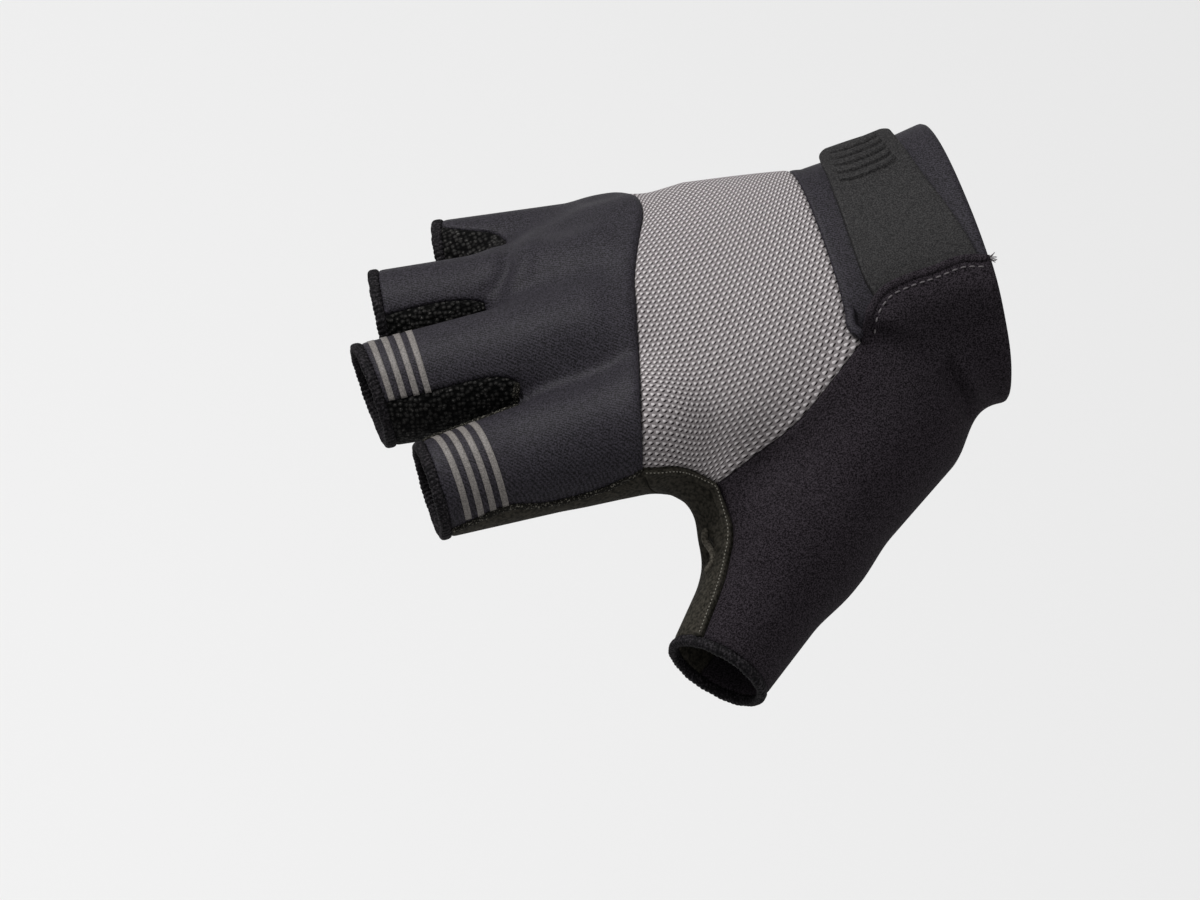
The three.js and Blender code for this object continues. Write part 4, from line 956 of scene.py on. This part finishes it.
# %% The thumb panel
thumb_upper = joined(hem_line, thumb_seam, gusset_seam)
thumb_lower = joined(wrist_under, under_seam)
thumb_arc = opening_arc(THUMB, THUMB["inner"], THUMB["palm"] + 360, THUMB_COLUMNS)
thumb_arc[0], thumb_arc[-1] = thumb_upper[-1], thumb_lower[-1]
thumb_patch = patch(thumb_upper, thumb_lower,
                    wrist_arc(hem_line[0], wrist_under[0], THUMB_COLUMNS), thumb_arc)
thumb_cuts = [HEM_LINE_ROWS, CUFF_ROWS, UNDER_ROWS]
thumb_panel = cloth("thumb_skin", [finer(thumb_patch, 10, thumb_cuts)], FLEECE_WALL,
                    FLEECE.material, "fleece", outer=all_of(over_strap, THUMB_DENTS), roll=0.6,
                    inner_lift=over_strap)
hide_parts("thumb_panel")

# %% [markdown]
# The gusset is thin suede in the crotch of the thumb, a surface that bends both ways at once.
# Straight rows from seam to seam would cut through the web there. So they are first bulged out,
# like arcs between the slopes at their two ends, and then settled. Its creases are heights again.

# %% The gusset between thumb and index finger
gusset_far = joined(crotch_seam, under_seam)
gusset_end = opening_arc(THUMB, THUMB["inner"], THUMB["palm"], GUSSET_COLUMNS)
gusset_end[0], gusset_end[-1] = gusset_seam[-1], under_seam[-1]
gusset_patch = patch(gusset_seam, gusset_far, gusset_top, gusset_end, lean=np.zeros(3))
GUSSET_FOLDS = lumps([(0.735, -0.55, -0.62, 3, 1.3), (0.7, -0.625, -0.56, 2.0, -2.4),
                      (0.69, -0.57, -0.35, 3, -0.7), (0.715, -0.76, -0.52, 3, 0.4),
                      (0.72, -0.52, -0.2, 3, -0.4)])
gusset = cloth("gusset_skin", [finer(gusset_patch, 10, [CROTCH_ROWS])], 1.5, SUEDE.material,
               "suede", outer=GUSSET_FOLDS)
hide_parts("thumb_gusset")

# %% [markdown]
# The palm is one piece of suede from the wrist to the fingers that wraps the side of the index
# stall. It is cut as the back is, a comb of four strips, and so one function makes both. A single
# grid over the whole palm would fold at the webs.

# %% The palm
# Columns: middle of a strip's border at a quarter and at six tenths of the palm, as side shares
PALM_LINES = [(-0.12, -0.14), (0.03, 0.1), (0.2, 0.33)]
wrist = wrist_arc(little_side[0], wrist_under[0], 4 * STRIP_COLUMNS)
palm_middles = [seam([wrist[(3 - i) * STRIP_COLUMNS], place(0.25, quarter, -0.75),
                      place(0.6, half, -0.6), palm_slots[i][0][0]], LITTLE_ROWS + KNUCKLE_ROWS)
                for i, (quarter, half) in enumerate(PALM_LINES)]
palm_strips = comb(wrist, palm_middles, palm_slots, joined(little_side, little_end),
                   joined(wrist_under, crotch_seam[::-1], index_side),
                   lambda f: (f["palm"][1], f["thumb_palm"][1] - 360))
palm_cuts = [HEM_LINE_ROWS, CUFF_ROWS, UNDER_ROWS, LITTLE_ROWS, LITTLE_ROWS + KNUCKLE_ROWS]
palm_panel = cloth("palm_skin", [finer(g, 6, palm_cuts) for g in palm_strips], 1.5,
                   SUEDE.material, "suede")
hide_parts("palm_panel")

# %% [markdown]
# ## Terry between the fingers
# The narrow strips between the stalls are terry knit. Each one is a ribbon that runs from one
# opening round the web to the next opening. Real loops could be hair particles, which are slow and
# aren't a mesh. Cells of a Voronoi texture, a millimetre across, give the same beads as bump, and in
# the colour as painted shade between the loops and painted highlights on their tops.

# %% The three fourchettes
WEB_LEAN = 0.3
for i, (node, (near, far), (palm_near, palm_far)) in enumerate(zip(
        ["fourchette_index_middle", "fourchette_middle_ring", "fourchette_ring_little"],
        back_slots, palm_slots)):
    a, b = FINGERS[i], FINGERS[i + 1]
    back_line, palm_line = joined(near[::-1], far), joined(palm_near[::-1], palm_far)
    first = opening_arc(a, a["back"][1], a["palm"][1], FOURCHETTE_COLUMNS)
    last = opening_arc(b, b["thumb_back"][1], b["thumb_palm"][1], FOURCHETTE_COLUMNS)
    first[0], first[-1], last[0], last[-1] = back_line[0], palm_line[0], back_line[-1], palm_line[-1]
    ribbon = patch(back_line, palm_line, first, last, lean=(a["aim"] + b["aim"]) * WEB_LEAN)
    piece = cloth(node + "_skin", [finer(ribbon, 10, [STALL_ROWS])], 1.2, TERRY.material, "knit")
    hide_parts(node)

# %% [markdown]
# ## Hems of the openings
# Every stall ends in a narrow hem whose cut edge is wound over with thread. A curve with a bevel
# would give a smooth ring. Here a flattened section is carried round the stall by a formula, and
# slanted ridges on it stand for the turns of the thread.

# %% Tubes carried along a line
def carried(name, centres, wide, high, width, thickness, material, node_slot, ridge, closed=True,
            square=0.75, sides=20, cap=1.0):
    """A section x = width/2 cos s, y = thickness/2 sin s, both with the power square, carried along
    a path; its surface stands out by ridge(distance along, s). Open ends are drawn in round."""
    s = np.linspace(0, 2 * np.pi, sides, endpoint=False)
    step = np.linalg.norm(np.diff(centres, axis=0), axis=1)
    length = np.concatenate([[0], step.cumsum()])[:, None]
    more = ridge(length, s[None])
    to_end = np.minimum(length, length[-1] - length)
    size = 1 if closed else np.sqrt(1 - np.clip(1 - to_end / cap, 0, 0.995) ** 2)
    squared = [np.sign(v) * np.abs(v) ** square for v in (np.cos(s), np.sin(s))]
    x = (width / 2 + more) * squared[0] * size
    y = (thickness / 2 + more) * squared[1] * size
    points = centres[:, None] + wide[:, None] * x[..., None] + high[:, None] * y[..., None]
    n = len(centres)
    k = np.arange(n * sides).reshape(n, sides)
    if closed:
        k = np.vstack([k, k[:1]])
    k = np.hstack([k, k[:, :1]])
    quads = np.stack([k[:-1, :-1], k[1:, :-1], k[1:, 1:], k[:-1, 1:]], -1).reshape(-1, 4)
    vertices = points.reshape(-1, 3)
    middles = np.repeat(centres[:len(quads) // sides], sides, axis=0)
    inward = (turned(vertices, quads) * (vertices[quads].mean(1) - middles)).sum() < 0
    if not closed:
        i = np.arange(sides // 2 - 1)
        lid = np.stack([i, i + 1, sides - 2 - i, sides - 1 - i], -1)
        quads = np.concatenate([quads, lid, lid[:, ::-1] + (n - 1) * sides])
    if inward:
        quads = quads[:, ::-1]
    return add_mesh(name, vertices, quads, material, node_slot)


# %% Rings of wound thread
THREAD_PITCH, RING_STEPS, RING_INSET = 1.05, 640, 0.6


def winding(total):
    """Threads as humps |sin|, slanted by the section's angle, on a slightly uneven edge that is
    total mm round."""
    turns = round(total / THREAD_PITCH)

    def ridge(d, s):
        around = 2 * np.pi * d / total
        return (0.22 * np.abs(np.sin(turns * around / 2 + s)) ** 0.7 - 0.12
                + 0.05 * np.sin(7 * around + 1) + 0.04 * np.sin(17 * around + s))

    return ridge


for a in [*FINGERS, THUMB]:
    turn = np.linspace(0, 360, RING_STEPS, endpoint=False)
    ring = settle(on_finger(a, 1 - (HEM_WIDTH + SEAM_GAP) / 2 / a["length"], turn))
    out = unit(gradient(ring))
    out = unit(out - (out @ a["aim"])[:, None] * a["aim"])
    hem = carried("hem_" + a["name"] + "_thread", ring - out * RING_INSET,
                  np.tile(a["aim"], (len(ring), 1)), out, HEM_WIDTH + SEAM_GAP, HEM_THICKNESS,
                  THREAD.material, "knit", winding(2 * np.pi * a["opening"]))
    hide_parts("hem_" + a["name"])

# %% [markdown]
# ## Turned edges, seam cords and stitches
# The fleece ends over the strap in a thick turned lip, stitched down in a row of short dashes. The
# gusset's seam allowance stands up as a flat cord beside the fleece, and narrower cords follow the
# side of the index stall and one side of its slot. Extruding an edge of each panel would do it as
# well, but a tube is one closed piece, and each cord here is the same tube with another section.

# %% Cords
def fuzz(amount):
    """Small uneven swellings of a cord."""
    return lambda d, s: amount * (np.sin(2.9 * d + 2 * s) * np.sin(1.7 * d - s)
                                  + 0.5 * np.sin(6.1 * d + 3 * s))


def frame_of(line):
    """Normals of the form along a line, and the sideways direction on it."""
    high = unit(gradient(line))
    along = unit(np.gradient(line, axis=0))
    return high, unit(np.cross(high, along))


def cord(name, line, finish, node_slot, height, width, thickness, uneven):
    """A tube along a line, its middle at a height above the form."""
    high, wide = frame_of(line)
    return carried(name, line + high * np.reshape(height, (-1, 1)), wide, high, width, thickness,
                   finish.material, node_slot, fuzz(uneven), closed=False, sides=16)


def moved(line, distance):
    """A line moved sideways on the form."""
    return settle(line + frame_of(line)[1] * distance)


# %% The lip over the strap
LIP = 1.9
lip_line = moved(fine_hem, LIP / 2 - 0.1)
lip_height = fine_raise * (1 + FLEECE_WALL / RAISED) - FLEECE_WALL + LIP / 2 + 0.1
lip = cord("thumb_lip", lip_line, FLEECE, "fleece", height=lip_height, width=LIP, thickness=LIP,
           uneven=0.05)
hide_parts("thumb_panel_hem")

# %% Edges of the suede and of the index finger's slot
gusset_line = line_at(joined(gusset_top[::-1], gusset_seam),
                      np.linspace(0, GUSSET_COLUMNS + GUSSET_ROWS, 420))
gusset_fold = np.array([(0.69, -0.585, -0.42), (0.697, -0.605, -0.485), (0.694, -0.636, -0.478),
                        (0.694, -0.668, -0.472), (0.7, -0.69, -0.5), (0.715, -0.697, -0.57)])
cord("gusset_cord", moved(gusset_line, -1.0), SUEDE, "suede", height=0.2, width=1.9, thickness=1.2,
     uneven=0.06)
cord("index_side_cord", fine_line(index_side, 300), PIPING, "suede", height=0.1, width=1.2,
     thickness=1.2, uneven=0.1)
# The gusset's fold is a cord of suede painted lighter, a painted highlight along its crest.
cord("gusset_fold", fine_line(gusset_fold * MEASURE, 120), SUEDE_HIGHLIGHT, "suede", height=0.1, width=1.1,
     thickness=1.5, uneven=0.04)
cord("index_slot_cord", fine_line(back_slots[0][0], 260), PIPING, "knit", height=-0.2, width=1.5,
     thickness=1.5, uneven=0.1)

# %% [markdown]
# Cloth is never quite tidy. A few cut threads stand out of the lip's corner, and the cuff's knit is
# pushed up into a small fold beside it. A hair system would do for the threads, but it isn't a mesh
# and would have to be turned into one. Here both are the carried tube again, thin or fat, along a
# short path.

# %% Loose threads at the lip's corner
FRAYED, FRAY_LENGTH, FRAY_WIDTH, FRAY_TURN, FRAY_STEPS = 8, 1.1, 0.26, 2.4, 10
fray_wide = np.tile(unit(np.array([0, 1, 0.2])), (FRAY_STEPS, 1))
fray_high = np.tile(unit(np.array([0, -0.2, 1])), (FRAY_STEPS, 1))
lip_high, _ = frame_of(lip_line)
lip_end = lip_line[0] + lip_high[0] * lip_height[0]
for k in range(FRAYED):
    turn = FRAY_TURN * k
    t = np.linspace(0, 1, FRAY_STEPS)[:, None]
    aside = np.array([0, np.cos(turn), np.sin(turn)])
    curl = np.array([0.3, np.cos(turn + 1.5), np.sin(turn + 1.5)])
    ahead = np.array([FRAY_LENGTH + 0.25 * np.cos(3 * turn), 0, 0])
    path = lip_end + 0.5 * aside + t * ahead + t ** 2 * (0.5 * aside + 0.5 * curl)
    carried("lip_fray_" + str(k), path, fray_wide, fray_high, FRAY_WIDTH, FRAY_WIDTH,
            DARK_STITCH.material, "fleece", lambda d, s: 0 * (d + s), closed=False, sides=6, cap=0.1)

# %% The cuff's fold beside the lip
FOLD_WIDTH = 2.2
fold_line = fine_line([(-31.6, -17.5, 16.2), (-32, -20, 15.1), (-31.9, -22.4, 14.1),
                       (-31, -24.8, 13.1)], 90)
high, wide = frame_of(fold_line)
rise = 1.8 * np.sin(np.pi * (0.1 + 0.55 * np.linspace(0, 1, 90)[:, None])) - 0.9
carried("cuff_fold", fold_line + high * rise, wide, high, FOLD_WIDTH, FOLD_WIDTH, STRETCH.material,
        "stretch", lambda d, s: 0.25 * np.sin(0.9 * d + s), closed=False, cap=1.6)

# %% [markdown]
# A stitch is a short thread that goes in at both ends. One thread of 28 faces is worked out once,
# and whole arrays lay it down at every place along a line. Geometry Nodes could scatter it too, but
# then the recipe would be in two places.

# %% Stitches
def stitches(name, line, lift, pitch, length, width, finish):
    """Short threads along a line: rings of radius r(x) about a low arch z = 0.2 (1 - (2x/length)^2),
    one shape of 28 faces laid down at every place."""
    at = np.concatenate([[0], np.linalg.norm(np.diff(line, axis=0), axis=1).cumsum()])
    places = np.arange(pitch, at[-1] - pitch, pitch)
    high, wide = frame_of(line)
    pick = [np.stack([np.interp(places, at, v[:, k]) for k in range(3)], 1)
            for v in (line, high, wide)]
    lifts = np.interp(places, at, np.broadcast_to(lift, at.shape))
    x = np.array([-0.5, -0.4, 0, 0.4, 0.5])[:, None]
    radius = np.array([0.25, 0.85, 1, 0.85, 0.25])[:, None] * width / 2
    s = np.linspace(0, 2 * np.pi, 6, endpoint=False)
    local = np.stack([x * length + 0 * s, radius * np.cos(s),
                      radius * np.sin(s) + 0.2 * (1 - 4 * x ** 2)], -1).reshape(-1, 3)
    ahead = np.cross(pick[2], pick[1])
    vertices = (pick[0][:, None] + (local[:, 2] + lifts[:, None])[..., None] * pick[1][:, None]
                + local[None, :, :1] * ahead[:, None] + local[None, :, 1:2] * pick[2][:, None])
    k = np.arange(30).reshape(5, 6)
    k = np.hstack([k, k[:, :1]])
    quads = np.stack([k[:-1, :-1], k[:-1, 1:], k[1:, 1:], k[1:, :-1]], -1).reshape(-1, 4)
    lids = np.array([[0, 5, 4, 1], [1, 4, 3, 2]])
    one = np.concatenate([quads, lids, lids[:, ::-1] + 24])
    outward = (turned(local, one) * (local[one].mean(1) - local.mean(0))).sum()
    if outward * np.linalg.det(np.stack([ahead[0], pick[2][0], pick[1][0]])) < 0:
        one = one[:, ::-1]
    faces = (one[None] + 30 * np.arange(len(places))[:, None, None]).reshape(-1, 4)
    return add_mesh(name, vertices.reshape(-1, 3), faces, finish.material, "knit")


dash_line = moved(fine_hem, LIP + 0.75)
stitches("lip_stitches", dash_line, over_strap(dash_line) - 0.05, pitch=1.9, length=1.25, width=0.4,
         finish=DARK_STITCH)
stitches("gusset_stitches", moved(gusset_line, -0.5), 0.68, pitch=0.85, length=0.45, width=0.26,
         finish=STITCH)

# %% [markdown]
# ## The strap
# The strap is moulded in one piece: a flat tongue with rounded edges and five low ribs near its
# free end. A bevelled box could be bent round the wrist with a Curve modifier. As a grid on the
# form it follows the wrist from the start, and its edges and ribs are only heights. Distance from
# the free end and share of the width are its two parameters.

# %% The strap on the form
STRAP_CORNER, STRAP_END_LIFT, STRAP_EDGE = 3.5, 1.2, 0.6
RIB_COUNT, RIB_PITCH, RIB_HEIGHT, RIB_MARGIN = 5, 2.4, 0.65, 2.6
RIB_BEND, RIB_SIDE_MARGINS = 1.2, (1.8, 3.0)
finger_edge = np.array([(0.247, -0.243, 0.55), (0.257, -0.166, 0.6), (0.255, -0.017, 0.64),
                        (0.25, 0.1, 0.62), (0.243, 0.22, 0.55), (0.237, 0.3, 0.4)]) * MEASURE
wrist_edge = np.array([(0.022, -0.21, 0.69), (0.029, -0.15, 0.72), (0.046, -0.034, 0.75),
                       (0.066, 0.1, 0.72), (0.077, 0.22, 0.65), (0.08, 0.32, 0.5)]) * MEASURE


def strap_surface(rows, columns):
    """A grid from the free end to the root, drawn in round the free end's corners, with each
    point's distances to the end and to the nearer edge."""
    dense = [line_at(e, np.linspace(0, 5, 300)) for e in (finger_edge, wrist_edge)]
    length = sum(np.linalg.norm(np.diff(e, axis=0), axis=1).sum() for e in dense) / 2
    from_end = length * np.linspace(0, 1, rows) ** 1.25
    a, b = (at_shares(e, 1 - from_end / length) for e in dense)
    width = np.linalg.norm(b - a, axis=1)
    short = np.maximum(STRAP_CORNER - from_end, 0)
    inset = STRAP_CORNER - np.sqrt(STRAP_CORNER ** 2 - short ** 2)
    across = (1 - np.cos(np.linspace(0, np.pi, columns))) / 2
    t = inset[:, None] / width[:, None] + across * (1 - 2 * inset / width)[:, None]
    grid = settle(a[:, None] * (1 - t[..., None]) + b[:, None] * t[..., None])
    from_finger_edge = across * (width - 2 * inset)[:, None]
    return grid, from_end[:, None] * np.ones((1, columns)), from_finger_edge, width[:, None], length


# %% The strap's edges and ribs
grid, from_end, across, width, strap_length = strap_surface(260, 90)
print("the strap is", round(strap_length), "mm long")
edge = np.minimum(np.minimum(across, width - across), from_end)
lift = STRAP_END_LIFT * smoothstep(-from_end, -strap_length / 2, 0)
rounding = STRAP_EDGE * (1 - np.sqrt(1 - np.clip(1 - edge / STRAP_EDGE, 0, 1) ** 2))
rib_share = (across - RIB_SIDE_MARGINS[0]) / (width - sum(RIB_SIDE_MARGINS))
phase = (from_end + RIB_BEND * np.abs(2 * rib_share - 1) ** 3 - RIB_MARGIN) / RIB_PITCH
on_ribs = smoothstep(rib_share, 0, 0.05) * smoothstep(1 - rib_share, 0, 0.05)
rib_shape = smoothstep(np.sin(np.pi * (phase % 1)), 0.15, 0.75)
ribs = RIB_HEIGHT * on_ribs * (phase > 0) * (phase < RIB_COUNT) * rib_shape
top = STRAP_CLEARANCE + lift + STRAP_THICKNESS - rounding + ribs
bottom = STRAP_CLEARANCE + lift + 0.35 * rounding
plate = plate_of(grid, unit(gradient(grid)), top[..., None], bottom[..., None])
strap = add_mesh("strap_moulding", *plate, MOULDED.material, "strap")
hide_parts("closure_strap")


# %% [markdown]
# ## Printed stripes
# Four narrow reflective stripes cross the middle and the index stall. Printed stripes could be part
# of the knit's colour, but a print has a slight thickness that shows at its edges. So each one is a
# thin plate that stands a tenth of a millimetre above the cloth.

# %% Stripes on two stalls
STRIPE_WIDTH, STRIPE_RISE, STRIPE_ROOT = 1.4, 0.12, 0.3


def stripes(name, a, shares, start, end, lean, bow):
    """Bands round a stall between two angles, each STRIPE_WIDTH wide, at shares of its length. lean
    is how much further out their end is than their start, bow how far out their middle, in mm."""
    t = np.linspace(0, 1, 40)[:, None]
    angle = start + (end - start) * t
    widths = np.linspace(0, STRIPE_WIDTH, 5)
    vertices, faces = [], []
    for share in shares:
        along = share * a["length"] + lean * t + bow * np.sin(np.pi * t) - STRIPE_WIDTH / 2
        points = settle(on_finger(a, (along + widths) / a["length"], angle + 0 * widths))
        band, quads = plate_of(points, unit(gradient(points)), STRIPE_RISE, -STRIPE_ROOT)
        faces.append(quads + len(band) * len(vertices))
        vertices.append(band)
    return add_mesh(name, np.concatenate(vertices), np.concatenate(faces), STRIPE.material, "knit")


stripes("middle_stripes", FINGERS[1], [0.915, 0.859, 0.804, 0.751], -57, 49, 0.5, 0)
stripes("index_stripes", index, [0.898, 0.84, 0.783, 0.725], -50, 86, -1.3, -0.5)

# %% [markdown]
# ## Studio
# A plain pale floor well below the glove, a soft even sky and two broad lamps. Dark matt cloth
# shows its form only where light falls off over it, so one lamp is much stronger than the other.
# The camera stands far off with a long lens, as a product photographer's does, so that the fingers
# and the wrist are drawn to one scale.

# %% Floor and light
bpy.ops.mesh.primitive_plane_add(size=12, location=(0, 0, -0.6))
floor = bpy.context.object
floor.name = "studio_floor"
FLOOR = Finish("pale floor", 0.9)
FLOOR.colour(linear(238, 238, 238))
floor.data.materials.append(FLOOR.material)
floor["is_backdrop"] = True

scene = bpy.context.scene
scene.view_settings.view_transform = "Standard"
world = bpy.data.worlds.new("soft sky")
world.use_nodes = True
world.node_tree.nodes["Background"].inputs["Color"].default_value = (1, 1, 1, 1)
world.node_tree.nodes["Background"].inputs["Strength"].default_value = 0.42
scene.world = world


def lamp(name, place_m, size, power):
    """A square area lamp that faces the middle of the glove."""
    data = bpy.data.lights.new(name, "AREA")
    data.size, data.energy = size, power
    made = bpy.data.objects.new(name, data)
    made.location = place_m
    aim = Vector((-0.07, 0, 0)) - made.location
    made.rotation_mode = "QUATERNION"
    made.rotation_quaternion = aim.to_track_quat("-Z", "Y")
    scene.collection.objects.link(made)
    made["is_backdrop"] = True


lamp("left lamp", Vector((-0.6, 0.7, 1.1)), 0.6, 20.3)
lamp("right lamp", Vector((0.8, -0.5, 0.9)), 1.0, 4)

# %% Camera
AZIMUTH, ELEVATION, DISTANCE = np.radians(-17), np.radians(50), 4.0
PIXELS_PER_MM = 4.65
IMAGE_WIDTH, SENSOR_WIDTH = 1200, 36.0
FRAME_RIGHT, FRAME_UP = -0.0781, -0.0404  # from the origin to the picture's middle, in metres
back = Vector((np.sin(AZIMUTH) * np.cos(ELEVATION), -np.cos(AZIMUTH) * np.cos(ELEVATION),
               np.sin(ELEVATION)))
right = Vector((np.cos(AZIMUTH), np.sin(AZIMUTH), 0))
up = back.cross(right)
camera_data = bpy.data.cameras.new("camera")
camera_data.lens = PIXELS_PER_MM * DISTANCE / MM / IMAGE_WIDTH * SENSOR_WIDTH
camera_data.clip_end = 20
camera = bpy.data.objects.new("camera", camera_data)
print("lens", round(camera_data.lens), "mm")
camera.location = right * FRAME_RIGHT + up * FRAME_UP + back * DISTANCE
camera.rotation_mode = "QUATERNION"
camera.rotation_quaternion = (-back).to_track_quat("-Z", "Y")
scene.collection.objects.link(camera)
scene.camera = camera

# %% [markdown]
# The dressed glove's size is printed in millimetres. A skin that has grown too far then shows up
# as a number, which the eye would miss in a picture.

low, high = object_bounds()
print("dressed size in mm:", [round(v / MM, 1) for v in high - low])
